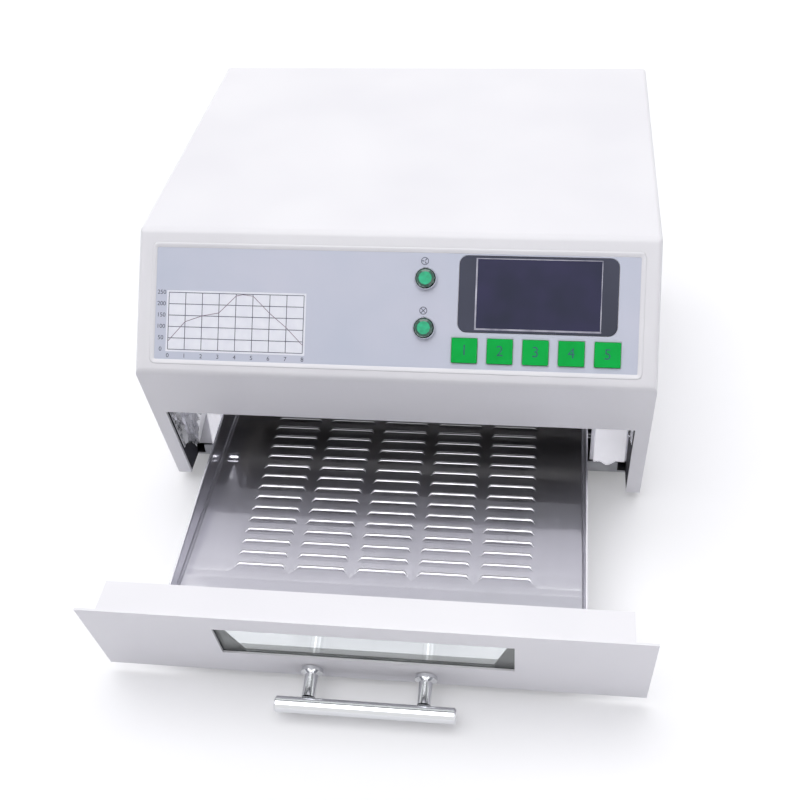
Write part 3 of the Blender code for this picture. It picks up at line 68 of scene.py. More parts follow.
def begin_material(name, colour, roughness, metallic=0.0, **sockets):
    """A material and its shader, with the values that are the same all over the surface."""
    made = bpy.data.materials.new(name)
    made.use_nodes = True
    shader = made.node_tree.nodes["Principled BSDF"]
    shader.inputs["Base Color"].default_value = linear(colour)
    shader.inputs["Roughness"].default_value = roughness
    shader.inputs["Metallic"].default_value = metallic
    for socket, value in sockets.items():
        shader.inputs[socket.replace("_", " ")].default_value = value
    return made, shader


def uneven(shader, patch_mm, stretch=(1, 1, 1), colours=None, roughness=None, bump_mm=0.0, detail=2.0):
    """Varies a finish by a cloudy pattern: its colour, its roughness, or the height of its surface."""
    tree = shader.id_data
    where = add_node(tree, "ShaderNodeTexCoord")
    laid = add_node(tree, "ShaderNodeMapping", {"Scale": stretch}, {"Vector": where.outputs["Object"]})
    cloud = add_node(tree, "ShaderNodeTexNoise", {"Scale": 1000 / patch_mm, "Detail": detail},
                     {"Vector": laid.outputs["Vector"]})
    # Noise keeps to the middle of its range, so that stretch is spread over the whole.
    share = add_node(tree, "ShaderNodeMapRange", {"From Min": 0.3, "From Max": 0.7},
                     {"Value": cloud.outputs["Fac"]})
    if colours:
        mixed = add_node(tree, "ShaderNodeMix", {"data_type": "RGBA", 6: linear(colours[0]),
                                                 7: linear(colours[1])}, {0: share.outputs["Result"]})
        tree.links.new(mixed.outputs[2], shader.inputs["Base Color"])
    if roughness:
        gloss = add_node(tree, "ShaderNodeMapRange", {"To Min": roughness[0], "To Max": roughness[1]},
                         {"Value": share.outputs["Result"]})
        tree.links.new(gloss.outputs["Result"], shader.inputs["Roughness"])
    if bump_mm:
        under = shader.inputs["Normal"].links
        bump = add_node(tree, "ShaderNodeBump", {"Strength": 1.0, "Distance": bump_mm / 1000},
                        {"Height": share.outputs["Result"],
                         **({"Normal": under[0].from_socket} if under else {})})
        tree.links.new(bump.outputs["Normal"], shader.inputs["Normal"])


# Limits in metres and radians: corners that are one, faces that are one, edges to break and crisp edges.
SAME_PLACE = 0.000002
SAME_FACE, SHARP_EDGE, CRISP_EDGE = math.radians(0.5), math.radians(38), math.radians(34)


def dress(node, material, edge_mm=0.0):
    """Gives a CAD node its finish and smooth curves. Its edges are broken by edge_mm, as on a real part."""
    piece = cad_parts[node]
    piece.data.materials.clear()
    piece.data.materials.append(material)
    for left_over in ("custom_normal", "sharp_edge"):
        if left_over in piece.data.attributes:
            piece.data.attributes.remove(piece.data.attributes[left_over])
    piece.data.shade_smooth()
    piece.modifiers.new("joined_corners", "WELD").merge_threshold = SAME_PLACE
    if edge_mm:
        flat = piece.modifiers.new("whole_faces", "DECIMATE")
        flat.decimate_type = "DISSOLVE"
        flat.angle_limit = SAME_FACE
        broken = piece.modifiers.new("broken_edges", "BEVEL")
        broken.width = edge_mm / 1000
        broken.segments = 3
        broken.limit_method = "ANGLE"
        broken.angle_limit = SHARP_EDGE
        piece.modifiers.new("flat_shading", "WEIGHTED_NORMAL").weight = 100
    else:
        piece.modifiers.new("crisp_edges", "EDGE_SPLIT").split_angle = CRISP_EDGE


# Galvanised steel: hot-dipped, so dull, with crystals about 8 mm across that shine a little unevenly.
galvanised, shader = begin_material("galvanised_steel", "A3A4A8", 0.42, 1.0)
uneven(shader, 8.0, colours=("96979C", "AEAFB3"), roughness=(0.36, 0.50), detail=0.0)
dress("base_pan", galvanised, 0.3)


# Feet: four round pads moulded in black rubber and screwed under the base pan.
# Rubber is matt and a little grey, with the mould's fine grain.

rubber, shader = begin_material("moulded_rubber", "1B1B1C", 0.72, Specular_IOR_Level=0.35)
uneven(shader, 0.9, colours=("171718", "242425"), bump_mm=0.03)
SIDES = {"left": -1, "right": 1}
for row in ("front", "rear"):
    for side in SIDES:
        dress(f"foot_{row}_{side}", rubber, 0.4)


# Hood: top, fascia, chin, jambs and side walls folded and welded from one steel sheet, then powder
# coated. It drops over the base pan from above.

# Powder coat: thick baked paint, a soft cold white that flows out almost smooth and keeps a slight orange
# peel, which is about 0.5 mm across and is drawn at 1.3 mm so that it shows.
powder_coat, shader = begin_material("powder_coat", "E2E1E7", 0.40)
uneven(shader, 1.3, bump_mm=0.012)
uneven(shader, 90.0, colours=("DFDEE4", "E5E4E9"), roughness=(0.36, 0.44))
dress("hood", powder_coat, 0.6)


# Hood screws: zinc-plated pan heads with a cross recess, three along the foot of each side wall, where
# the hood is held to the base pan.

# Radius and height of a head, and the screws' places from the front, the middle, the back and the foot.
HOOD_SCREW = (0.0034, 0.0018)
FROM_FRONT, FROM_MIDDLE, FROM_BACK, FROM_FOOT = 0.070, 0.020, 0.022, 0.0045


def new_piece(name, shape, materials, body, on=None, crisp=32.0):
    """Makes a mesh into a piece of the model that rides on a body. Its own plane is laid on another."""
    if on is not None:
        shape.transform(on)
    bmesh.ops.recalc_face_normals(shape, faces=shape.faces)
    mesh = bpy.data.meshes.new(name)
    shape.to_mesh(mesh)
    shape.free()
    for material in materials if isinstance(materials, list) else [materials]:
        mesh.materials.append(material)
    mesh.shade_smooth()
    mesh.set_sharp_from_angle(angle=math.radians(crisp))
    piece = bpy.data.objects.new(name, mesh)
    bpy.context.scene.collection.objects.link(piece)
    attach(piece, body)
    return piece


def ring_of(shape, at, radii, height):
    """A closed loop of vertices round an axis, one radius for each."""
    turn = math.tau / len(radii)
    return [shape.verts.new(at @ Vector((r * math.cos(i * turn), r * math.sin(i * turn), height)))
            for i, r in enumerate(radii)]


def stitch(shape, low, high):
    """Faces between two loops of the same length."""
    for i in range(len(low)):
        j = (i + 1) % len(low)
        shape.faces.new((low[i], low[j], high[j], high[i]))


def loft(shape, loops):
    """A solid through loops that follow each other, closed at both ends. Gives the face that ends it."""
    for low, high in zip(loops, loops[1:]):
        stitch(shape, low, high)
    shape.faces.new(reversed(loops[0]))
    return shape.faces.new(loops[-1])


def screw_head(shape, at, radius, height):
    """A pan head with a cross recess, seated at the origin of a plane and standing along its Z."""
    points, step = 24, 15
    arm, half_arm = radius * 0.62, radius * 0.166
    cross = []
    for i in range(points):
        turn = abs((i * step + 45) % 90 - 45)
        cross.append(arm / math.cos(math.radians(turn)) if turn <= step
                     else half_arm / math.sin(math.radians(turn)))
    loops = [ring_of(shape, at, [r * radius] * points, h * height)
             for r, h in ((1.0, 0.0), (1.0, 0.42), (0.93, 0.72), (0.80, 0.90), (0.70, 0.96))]
    loops.append(ring_of(shape, at, cross, height))
    loops.append(ring_of(shape, at, [r * 0.8 for r in cross], height * 0.25))
    loft(shape, loops)


# Zinc plate: bright blue-grey passivated plating, a little cloudy.
zinc_plate, shader = begin_material("zinc_plate", "B4B7BC", 0.30, 1.0)
uneven(shader, 3.0, colours=("A6A9AF", "BEC1C5"), roughness=(0.24, 0.38))

hood_low, hood_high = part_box("hood")
hood_middle = (hood_low.y + hood_high.y) / 2
heads = bmesh.new()
for sign in SIDES.values():
    side_wall = Matrix.Rotation(sign * math.radians(90), 4, "Y")
    for y in (hood_low.y + FROM_FRONT, hood_middle + FROM_MIDDLE, hood_high.y - FROM_BACK):
        at = Matrix.Translation((sign * hood_high.x, y, hood_low.z + FROM_FOOT)) @ side_wall
        screw_head(heads, at, *HOOD_SCREW)
new_piece("hood_screws", heads, zinc_plate, "case")


# Rear panel: a flat powder-coated sheet let into the back of the hood. Ten zinc-plated screws along its
# edges hold it to the hood and the base pan.

REAR_SCREW, REAR_SCREW_INSET = (0.0030, 0.0016), 0.010
REAR_SCREW_LEVELS = (0.075, 0.128)
dress("rear_panel", powder_coat, 0.25)
panel_low, panel_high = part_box("rear_panel")
outward = Matrix.Rotation(math.radians(-90), 4, "X")
left, right = panel_low.x + REAR_SCREW_INSET, panel_high.x - REAR_SCREW_INSET
bottom, top = panel_low.z + REAR_SCREW_INSET, panel_high.z - REAR_SCREW_INSET
places = [(x, z) for x in (left, 0.0, right) for z in (bottom, top)]
places += [(x, z) for z in REAR_SCREW_LEVELS for x in (left, right)]
heads = bmesh.new()
for x, z in places:
    screw_head(heads, Matrix.Translation((x, panel_high.y, z)) @ outward, *REAR_SCREW)
new_piece("rear_panel_screws", heads, zinc_plate, "case")


# Bulkhead: an upright sheet behind the drawer opening that closes off the space round the chamber.
# It is coated in white enamel, smoother and colder than the case.

enamel, shader = begin_material("white_enamel", "F2F2F6", 0.42)
uneven(shader, 40.0, colours=("EFEFF4", "F5F5F8"), roughness=(0.36, 0.50))
dress("front_bulkhead", enamel, 0.25)


# Jamb linings: strips of black cloth stuck to the inner faces of the returns behind the jambs, under the
# foil. Their black is painted shade on the returns.

# Black cloth: a matt weave whose threads are 0.4 mm apart and are drawn at 0.9 mm.
# Its black is painted shade.
jamb_shade_cloth, shader = begin_material("black_cloth_painted_shade", "2B2A33", 0.75, Specular_IOR_Level=0.3)
uneven(shader, 0.9, colours=("25242C", "33323C"), bump_mm=0.04)

# The chin leans in from the beak, the edge where it meets the fascia: how far back for each metre down, and
# how far back for each metre square to its face.
CHIN_SLOPE, CHIN_SLANT = 0.27027, 1.036
BEAK_Y, BEAK_Z = -0.064861, 0.119
RETURN_FACE, RETURN_BACK = 0.1463, -0.0164
LINING_TOP, LINING_FOOT, LINING_HEM, LINING_NOTCH = 0.0960, 0.0100, 0.0088, 0.0006
LINING_SETBACK, LINING_GAUGE = 0.0021, 0.00025


def behind_chin(z, depth):
    """Y at a height, at a depth behind the outer face of the leaning chin."""
    return BEAK_Y + (BEAK_Z - z) * CHIN_SLOPE + depth * CHIN_SLANT


for side, sign in SIDES.items():
    cloth = bmesh.new()
    outline = [(behind_chin(z, LINING_SETBACK), z) for z in (LINING_FOOT, LINING_HEM)]
    outline += [(RETURN_BACK - LINING_NOTCH, LINING_HEM), (RETURN_BACK, LINING_FOOT)]
    outline += [(RETURN_BACK, LINING_TOP), (behind_chin(LINING_TOP, LINING_SETBACK), LINING_TOP)]
    loft(cloth, [[cloth.verts.new((sign * x, y, z)) for y, z in outline]
                 for x in (RETURN_FACE, RETURN_FACE - LINING_GAUGE)])
    new_piece(f"jamb_shade_lining_{side}", cloth, jamb_shade_cloth, "case")


# Foil liners: kitchen-thin aluminium foil pasted over the jamb linings and round the corner on to the
# bulkhead, to throw the heat back. It was pressed down by hand, so it lies in long folds and crinkles.

# Aluminium foil: bright rolled metal whose facets are either mirror-light or dark.
foil, shader = begin_material("aluminium_foil", "D6D6DB", 0.16, 1.0)
uneven(shader, 4.0, roughness=(0.12, 0.26), bump_mm=0.15)

# The foil's foot rises towards the front, and its lap on the bulkhead narrows over its lowest stretch.
FOIL_FEET = {"left": (0.0345, 0.0160), "right": (0.0585, 0.0500)}
FOIL_LAPS = {"left": (0.0016, 0.0112), "right": (0.0006, 0.0030)}
LAP_START, LAP_STRETCH = 0.016, 0.030
FOIL_SETBACK, FOIL_OFF_WALL, FOIL_OFF_BULKHEAD = 0.0030, 0.0004, 0.0006
FOIL_COLUMNS, FOIL_ROWS, FOIL_GAUGE = 52, 60, 0.00008
FOLD_HEIGHT, CREASE_HEIGHT, SWELL_HEIGHT, FOOT_RAG = 0.0017, 0.0007, 0.0012, 0.0012


def between(start, end, share):
    """The value at a share of the way from start to end."""
    return start + (end - start) * share


def crinkle(along, z, sign):
    """How far the foil stands off its wall, in long folds, short creases and slow swells."""
    drift = noise.noise(Vector((z * 26, sign * 3.0, 1.7))) * 0.006
    fold = max(0.0, 1.0 - 3.2 * abs(noise.noise(Vector(((along + drift) * 92, z * 9, 3.1 + sign)))))
    crease = max(0.0, 1.0 - 4.0 * abs(noise.noise(Vector((along * 150 + z * 60, z * 70, 7.7 + sign)))))
    swell = 0.5 + 0.5 * noise.noise(Vector((along * 45, z * 28, 9.3)))
    return FOLD_HEIGHT * fold + CREASE_HEIGHT * crease + SWELL_HEIGHT * swell


def quads(shape, grid):
    """The faces of a sheet whose vertices are given line by line."""
    for one, two in zip(grid, grid[1:]):
        for i in range(len(one) - 1):
            shape.faces.new((one[i], one[i + 1], two[i + 1], two[i]))


bulkhead_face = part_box("front_bulkhead")[0].y
for side, sign in SIDES.items():
    low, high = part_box(f"foil_liner_{side}")
    face = min(abs(low.x), abs(high.x)) + FOIL_OFF_WALL
    corner = bulkhead_face - FOIL_OFF_BULKHEAD
    leaf = bmesh.new()
    grid = []
    for column in range(FOIL_COLUMNS + 1):
        share = column / FOIL_COLUMNS
        foot = between(*FOIL_FEET[side], min(1.0, share * 1.25) ** 1.4)
        foot += FOOT_RAG * noise.noise(Vector((share * 9, sign * 2.0, 0.4)))
        line = []
        for row in range(FOIL_ROWS + 1):
            z = foot + (high.z - foot) * row / FOIL_ROWS
            start = behind_chin(z, FOIL_SETBACK)
            depth = corner - start
            lap = between(*FOIL_LAPS[side], min(1.0, max(0.0, z - LAP_START) / LAP_STRETCH))
            along = share * (depth + lap)
            edge = min(1.0, along / 0.004, (z - foot) / 0.003 + 0.1, (depth + lap - along) / 0.003 + 0.1)
            lift = edge * crinkle(along, z, sign)
            if along < depth:
                spot = (sign * (face - lift), start + along, z)
            else:
                spot = (sign * (face - (along - depth)), corner - lift * 0.6, z)
            line.append(leaf.verts.new(spot))
        grid.append(line)
    quads(leaf, grid)
    piece = new_piece(f"crinkled_foil_{side}", leaf, foil, "case", crisp=24.0)
    gauge = piece.modifiers.new("foil_gauge", "SOLIDIFY")
    gauge.thickness, gauge.offset = FOIL_GAUGE, 0.0
    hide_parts(f"foil_liner_{side}")


# Heating chamber: a trough, a reflector and an outer jacket folded from thin sheet. The trough and the
# reflector are stainless, and the jacket and the drawer's guide rails are galvanised.

# Chamber stainless: thin sheet that the heat has tinted to a dull straw brown.
baked_stainless, shader = begin_material("baked_stainless", "8C8782", 0.32, 1.0)
uneven(shader, 55.0, colours=("79736D", "97938F"), roughness=(0.26, 0.42))
dress("chamber_liner", baked_stainless)
dress("lamp_reflector", baked_stainless)
dress("chamber_jacket", galvanised)
for side in SIDES:
    dress(f"guide_rail_{side}", galvanised)


# Insulation: a white ceramic-fibre blanket under the jacket's top. A pad of the same felt is stuck over the
# bulkhead on each side of the chamber, and its lower edge is torn and curls out over the pan's lip.

# Ceramic fibre: dead white, matt and fluffy, with strands that are drawn at 0.8 mm. A faint white glow is
# painted in for light soaking through the loose strands, so that the felt stays pale where it is shaded.
felt_painted_glow, shader = begin_material("ceramic_fibre", "FAFAFC", 0.95, Sheen_Weight=0.4, Emission_Strength=0.50)
shader.inputs["Emission Color"].default_value = linear("F3F2FA")
uneven(shader, 0.8, stretch=(0.35, 1, 1), bump_mm=0.12, detail=4.0)
uneven(shader, 9.0, colours=("F6F6F9", "FDFDFE"))
dress("insulation_blanket", felt_painted_glow, 1.0)

PAD_INNER, PAD_OUTER = 0.1246, {"left": 0.1338, "right": 0.1449}
PAD_TOP, PAD_FOOT, PAD_OFF_BULKHEAD, PAD_GAUGE = 0.0800, 0.0030, 0.0022, 0.0008
PAD_RAG, PAD_CURL, PAD_SWELL, PAD_TUFT = 0.0022, 0.0032, 0.0007, 0.0005
PAD_COLUMNS, PAD_ROWS = 28, 40
pan_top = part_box("base_pan")[1].z
for side, sign in SIDES.items():
    pad = bmesh.new()
    grid = []
    for row in range(PAD_ROWS + 1):
        drop = row / PAD_ROWS
        line = []
        for column in range(PAD_COLUMNS + 1):
            along = column / PAD_COLUMNS
            rag = 0.5 + 0.5 * noise.noise(Vector((along * 7 + sign * 4, 2.0, 0.3)))
            tuft = noise.noise(Vector((along * 16, drop * 40, 5 + sign))) * max(0.0, drop - 0.9) * 10
            foot = pan_top + PAD_FOOT - PAD_RAG * rag
            curl = PAD_CURL * math.exp(-((along - 0.4) / 0.22) ** 2) * max(0.0, drop * 10 - 9) ** 2
            swell = PAD_SWELL * noise.noise(Vector((along * 2.6, drop * 3.4, 8 + sign)))
            y = bulkhead_face - PAD_OFF_BULKHEAD + swell - curl - PAD_TUFT * tuft
            line.append(pad.verts.new((sign * between(PAD_INNER, PAD_OUTER[side], along), y,
                                       PAD_TOP * (1 - drop) + foot * drop)))
        grid.append(line)
    quads(pad, grid)
    # The pads carry the felt's painted glow, which keeps them pale in the shade under the chin.
    piece = new_piece(f"felt_pad_{side}", pad, felt_painted_glow, "case", crisp=80.0)
    felt = piece.modifiers.new("felt_thickness", "SOLIDIFY")
    felt.thickness, felt.offset = PAD_GAUGE, 0.0


# Heaters: four frosted quartz tubes with ceramic ends, held in two pressed ceramic racks, and two thin
# steel thermocouples between them.

# Frosted quartz: etched fused silica, cloudy white and half clear.
quartz, shader = begin_material("frosted_quartz", "E3E2DE", 0.38, Transmission_Weight=0.35, IOR=1.46)
uneven(shader, 2.0, roughness=(0.30, 0.48), bump_mm=0.02)
# Steatite: pressed and fired without a glaze, matt cream with a fine grain drawn at 1.5 mm.
ceramic, shader = begin_material("pressed_steatite", "E6E1D4", 0.62)
uneven(shader, 1.5, colours=("E0DBCD", "EAE6DB"), bump_mm=0.05)
for number in range(1, 5):
    dress(f"heater_tube_{number}", quartz)
for side in SIDES:
    dress(f"tube_rack_{side}", ceramic, 0.5)
    dress(f"thermocouple_{side}", baked_stainless)


# Control overlay: a sheet of reverse-printed polyester, stuck into the fascia's recess. The graph and
# the marks are screen-printed on it, so they stand up by a few hundredths of a millimetre.

FASCIA_TOP_EDGE = Vector((0, -0.009861, 0.186))
FASCIA_PITCH = 0.88344
fascia_plane = Matrix.Translation(FASCIA_TOP_EDGE) @ Matrix.Rotation(FASCIA_PITCH, 4, "X")
OVERLAY_FACE = -0.0005
INK_HEIGHT = 0.00006

# Matt polyester: pale lavender grey, faintly pearly, with a fine embossed grain drawn at 0.7 mm.
polyester, shader = begin_material("matt_polyester", "C4C8D8", 0.42)
uneven(shader, 0.7, bump_mm=0.008)
uneven(shader, 45.0, colours=("C0C5D6", "C8CADA"), roughness=(0.38, 0.47))
dress("control_overlay", polyester)

# Screen-printing inks, all flat and a little patchy: white with the overlay's grey showing through, a slate
# black for lines and figures, and a mauve for the trace.
white_ink, shader = begin_material("white_screen_ink", "E9EAF4", 0.45)
uneven(shader, 6.0, colours=("E5E6F1", "ECEDF6"), roughness=(0.42, 0.5))
slate_ink, shader = begin_material("slate_screen_ink", "3F4257", 0.45)
uneven(shader, 2.5, colours=("393C50", "4A4D63"), roughness=(0.4, 0.5))
curve_ink, shader = begin_material("mauve_screen_ink", "7B6478", 0.45)
uneven(shader, 2.5, colours=("6E5B6E", "876F82"), roughness=(0.4, 0.5))


def slab(shape, left, right, bottom, top, low, high):
    """A thin rectangular block between two heights."""
    corners = [(left, bottom), (right, bottom), (right, top), (left, top)]
    loft(shape, [[shape.verts.new((x, y, z)) for x, y in corners] for z in (low, high)])


def ribbon(shape, points, width, low, high):
    """A line of ink of even width through points, mitred at its corners."""
    path = [Vector(p) for p in points]
    edges = []
    for i, point in enumerate(path):
        before = (point - path[i - 1]).normalized() if i else (path[1] - point).normalized()
        after = (path[i + 1] - point).normalized() if i < len(path) - 1 else before
        mitre = (before.orthogonal() + after.orthogonal()).normalized()
        half = width / 2 / max(0.5, mitre.dot(before.orthogonal()))
        edges.append((point + mitre * half, point - mitre * half))
    loft(shape, [[shape.verts.new((*p, z)) for p, z in ((a, low), (b, low), (b, high), (a, high))]
                 for a, b in edges])


def numeral(shape, text, x, y, size, low, height):
    """Plain figures, centred on a point of the fascia."""
    letters = bpy.data.curves.new("figures", "FONT")
    letters.body, letters.size, letters.extrude = text, size, height / 2
    letters.align_x, letters.align_y = "CENTER", "CENTER"
    holder = bpy.data.objects.new("figures", letters)
    bpy.context.scene.collection.objects.link(holder)
    mesh = bpy.data.meshes.new_from_object(holder.evaluated_get(bpy.context.evaluated_depsgraph_get()))
    mesh.transform(Matrix.Translation((x, y, low + height / 2)))
    shape.from_mesh(mesh)
    bpy.data.objects.remove(holder)
    bpy.data.curves.remove(letters)
    bpy.data.meshes.remove(mesh)


GRAPH_LEFT, GRAPH_RIGHT, GRAPH_TOP, GRAPH_BOTTOM = -0.1350, -0.0524, -0.0382, -0.0724
GRAPH_BORDER = 0.0013
GRAPH_COLUMNS, GRAPH_ROWS = 8, 5
ink_low, ink_high = OVERLAY_FACE, OVERLAY_FACE + INK_HEIGHT
ground = bmesh.new()
slab(ground, GRAPH_LEFT - GRAPH_BORDER, GRAPH_RIGHT + GRAPH_BORDER, GRAPH_BOTTOM - GRAPH_BORDER,
     GRAPH_TOP + GRAPH_BORDER, ink_low - INK_HEIGHT, ink_high)
new_piece("graph_ground", ground, white_ink, "case", on=fascia_plane)

column_width = (GRAPH_RIGHT - GRAPH_LEFT) / GRAPH_COLUMNS
row_height = (GRAPH_TOP - GRAPH_BOTTOM) / GRAPH_ROWS
FIGURE_SIZE, FIGURE_DROP, FIGURE_SHIFT = 0.0036, 0.0038, 0.0046
GRID_LINE, TRACE_LINE = 0.00038, 0.00034
line_low, line_high = ink_high - INK_HEIGHT / 2, ink_high + INK_HEIGHT
lines = bmesh.new()
for i in range(GRAPH_COLUMNS + 1):
    x = GRAPH_LEFT + column_width * i
    slab(lines, x - GRID_LINE / 2, x + GRID_LINE / 2, GRAPH_BOTTOM, GRAPH_TOP, line_low, line_high)
    numeral(lines, str(i), x, GRAPH_BOTTOM - FIGURE_DROP, FIGURE_SIZE, ink_low, INK_HEIGHT)
for i in range(GRAPH_ROWS + 1):
    y = GRAPH_BOTTOM + row_height * i
    slab(lines, GRAPH_LEFT, GRAPH_RIGHT, y - GRID_LINE / 2, y + GRID_LINE / 2, line_low,
         ink_high + INK_HEIGHT * 1.1)
    numeral(lines, str(50 * i), GRAPH_LEFT - FIGURE_SHIFT, y, FIGURE_SIZE, ink_low, INK_HEIGHT)
new_piece("graph_lines", lines, slate_ink, "case", on=fascia_plane)

# A soldering run on the graph, in columns across and rows up.
profile = [(0.0, 0.7), (1.0, 2.45), (2.0, 3.0), (3.0, 3.3), (4.0, 4.82), (4.4, 4.95), (5.0, 4.85),
           (6.0, 3.4), (7.0, 2.2), (8.0, 0.7)]
trace = bmesh.new()
ribbon(trace, [(GRAPH_LEFT + column_width * a, GRAPH_BOTTOM + row_height * b) for a, b in profile],
       TRACE_LINE, line_low, ink_high + INK_HEIGHT * 1.5)
new_piece("graph_trace", trace, curve_ink, "case", on=fascia_plane)


# Recess rim: where the fascia was pressed down for the overlay, the sheet rolls over in a soft shoulder
# that is painted with the hood. It shows as a shaded line above the overlay and a bright one below.

overlay_plane = fascia_plane.inverted()
overlay_corners = [overlay_plane @ v.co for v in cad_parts["control_overlay"].data.vertices]
overlay_half = max(c.x for c in overlay_corners)
overlay_top = max(c.y for c in overlay_corners)
overlay_bottom = min(c.y for c in overlay_corners)
RIM_CORNER, RIM_CORNER_LEAST, PAINT_FILM = 0.0026, 0.0008, 0.00003
# Across the shoulder: how far outside the overlay, and how high over the fascia.
SHOULDER = ((0.0011, 0.00002), (0.0004, 0.00004), (-0.0004, -0.00006), (-0.0011, -0.00026),
            (-0.0016, -0.00040), (-0.0018, -0.00047))


def rounded_loop(shape, left, right, bottom, top, radius, height):
    """A closed loop of vertices along a rectangle with round corners."""
    loop = []
    for x, y, start in ((right - radius, top - radius, 0), (left + radius, top - radius, 90),
                        (left + radius, bottom + radius, 180), (right - radius, bottom + radius, 270)):
        for step in range(7):
            turn = math.radians(start + 15 * step)
            loop.append(shape.verts.new((x + radius * math.cos(turn), y + radius * math.sin(turn), height)))
    return loop


rim = bmesh.new()
loops = [rounded_loop(rim, -overlay_half - out, overlay_half + out, overlay_bottom - out, overlay_top + out,
                      max(RIM_CORNER_LEAST, RIM_CORNER + out), height) for out, height in SHOULDER]
for one, two in zip(loops, loops[1:]):
    stitch(rim, one, two)
piece = new_piece("recess_rim", rim, powder_coat, "case", on=fascia_plane, crisp=60.0)
paint = piece.modifiers.new("paint_film", "SOLIDIFY")
paint.thickness, paint.offset = PAINT_FILM, -1.0


# Display: a smoked acrylic lens with rounded corners, let into the overlay, over a graphic display
# module. The module's own bright frame shows through the lens as a thin line round the dark screen.

# Smoked acrylic: cast sheet, polished, slate grey with a cold tint.
smoked_acrylic, shader = begin_material("smoked_acrylic", "3F4153", 0.12, Specular_IOR_Level=0.3)
uneven(shader, 60.0, colours=("3A3D4B", "484A5C"), roughness=(0.10, 0.16))
# Display glass: the unlit screen behind the acrylic, a deep violet blue, a little cloudy.
display_glass, shader = begin_material("display_glass", "2E2E48", 0.10, Specular_IOR_Level=0.3)
uneven(shader, 26.0, colours=("292C43", "333152"), roughness=(0.08, 0.14))
# Tinned frame: the module's pressed metal bezel, seen through the tint.
tinned_frame, shader = begin_material("tinned_frame", "A9A8B8", 0.30)
uneven(shader, 12.0, colours=("807F92", "C9C8D6"), roughness=(0.25, 0.4))

LENS_LEFT, LENS_RIGHT, LENS_TOP, LENS_BOTTOM = 0.0392, 0.1310, -0.0123, -0.0568
LENS_CORNER, LENS_EDGE, LENS_BACK, LENS_FACE = 0.0050, 0.00015, -0.0009, OVERLAY_FACE + 0.0002
SCREEN_LEFT, SCREEN_RIGHT, SCREEN_TOP, SCREEN_BOTTOM = 0.0493, 0.1216, -0.0136, -0.0550
SCREEN_BACK, SCREEN_FACE, BEZEL_FACE = LENS_FACE - 0.0001, LENS_FACE + 0.00005, LENS_FACE + 0.00012
lens = bmesh.new()
loft(lens, [rounded_loop(lens, LENS_LEFT + inset, LENS_RIGHT - inset, LENS_BOTTOM + inset, LENS_TOP - inset,
                         LENS_CORNER - inset, height)
            for inset, height in ((0.0, LENS_BACK), (0.0, LENS_FACE - LENS_EDGE), (LENS_EDGE, LENS_FACE))])
piece = new_piece("display_window", lens, smoked_acrylic, "case", on=fascia_plane)
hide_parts("display_lens")
screen = bmesh.new()
slab(screen, SCREEN_LEFT, SCREEN_RIGHT, SCREEN_BOTTOM, SCREEN_TOP, SCREEN_BACK, SCREEN_FACE)
new_piece("display_screen", screen, display_glass, "case", on=fascia_plane)
# The module sits a little askew behind the lens, so that each side of its frame shows another width.
bezel = bmesh.new()
for left, right, bottom, top in (
        (SCREEN_LEFT - 0.0004, SCREEN_LEFT + 0.0005, SCREEN_BOTTOM, SCREEN_TOP),
        (SCREEN_LEFT - 0.0004, SCREEN_RIGHT + 0.0003, SCREEN_BOTTOM - 0.0004, SCREEN_BOTTOM + 0.0006),
        (SCREEN_LEFT + 0.0005, SCREEN_RIGHT, SCREEN_TOP - 0.0005, SCREEN_TOP),
        (SCREEN_RIGHT - 0.0004, SCREEN_RIGHT + 0.0001, SCREEN_BOTTOM, SCREEN_TOP)):
    slab(bezel, left, right, bottom, top, LENS_FACE, BEZEL_FACE)
new_piece("display_frame_line", bezel, tinned_frame, "case", on=fascia_plane)
dress("display_module", zinc_plate)


# Panel lamps: two neon lamps, each with a turned chrome bezel and a moulded green lens that has a flat
# table and a ring of facets. They push through the fascia and are held by a nut behind it.

# Chrome: mirror-bright plating, with the faint waves of the polished metal under it.
chrome, shader = begin_material("polished_chrome", "DCDDE0", 0.07, 1.0)
uneven(shader, 4.0, roughness=(0.05, 0.11), bump_mm=0.004)
# Green polycarbonate: clear tinted plastic, with a faint green glow painted in for the light that goes in
# and comes back.
green_lens_painted_glow, shader = begin_material("tinted_polycarbonate_painted_glow", "0BA878", 0.12, Coat_Weight=0.5,
                                    Coat_Roughness=0.03, Emission_Strength=0.12)
uneven(shader, 3.0, colours=("089A6C", "11B886"), roughness=(0.08, 0.16))
shader.inputs["Emission Color"].default_value = linear("0BA878")
# Facets: the same plastic, painted deep bottle green as shade for the dark inside of the lamp they look into.
green_facet_painted_shade, shader = begin_material("faceted_polycarbonate_painted_shade", "04483A", 0.10, Coat_Weight=0.5,
                                     Coat_Roughness=0.03)
uneven(shader, 1.5, colours=("033329", "07604C"), roughness=(0.08, 0.16))

LAMP_X = 0.0196
LAMP_DROPS = {"upper": 0.0262, "lower": 0.0552}
JEWEL_FACETS = 12
# Radius and height of each edge of the lens, from its foot to its table.
JEWEL = ((0.0051, 0.0), (0.0051, 0.0015), (0.0055, 0.0020), (0.0052, 0.0026), (0.0039, 0.0033))
for level, drop in LAMP_DROPS.items():
    dress(f"{level}_lamp_bezel", chrome)
    jewel = bmesh.new()
    at = Matrix.Translation((LAMP_X, -drop, 0.0))
    table = loft(jewel, [ring_of(jewel, at, [r] * JEWEL_FACETS, h) for r, h in JEWEL])
    for face in jewel.faces:
        face.material_index = 0 if face is table else 1
    piece = new_piece(f"{level}_lamp_jewel", jewel, [green_lens_painted_glow, green_facet_painted_shade], "case",
                      on=fascia_plane, crisp=5.0)
    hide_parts(f"{level}_lamp_lens")


# Lamp symbols: a three-bladed fan above the upper lamp and a crossed circle above the lower one, printed
# on the overlay in the graph's slate ink.

SYMBOL_RADIUS, SYMBOL_LINE, SYMBOL_SHIFT, SYMBOL_RISE = 0.0021, 0.0004, -0.0008, 0.0102
SYMBOL_ARMS = {"upper": 3, "lower": 4}
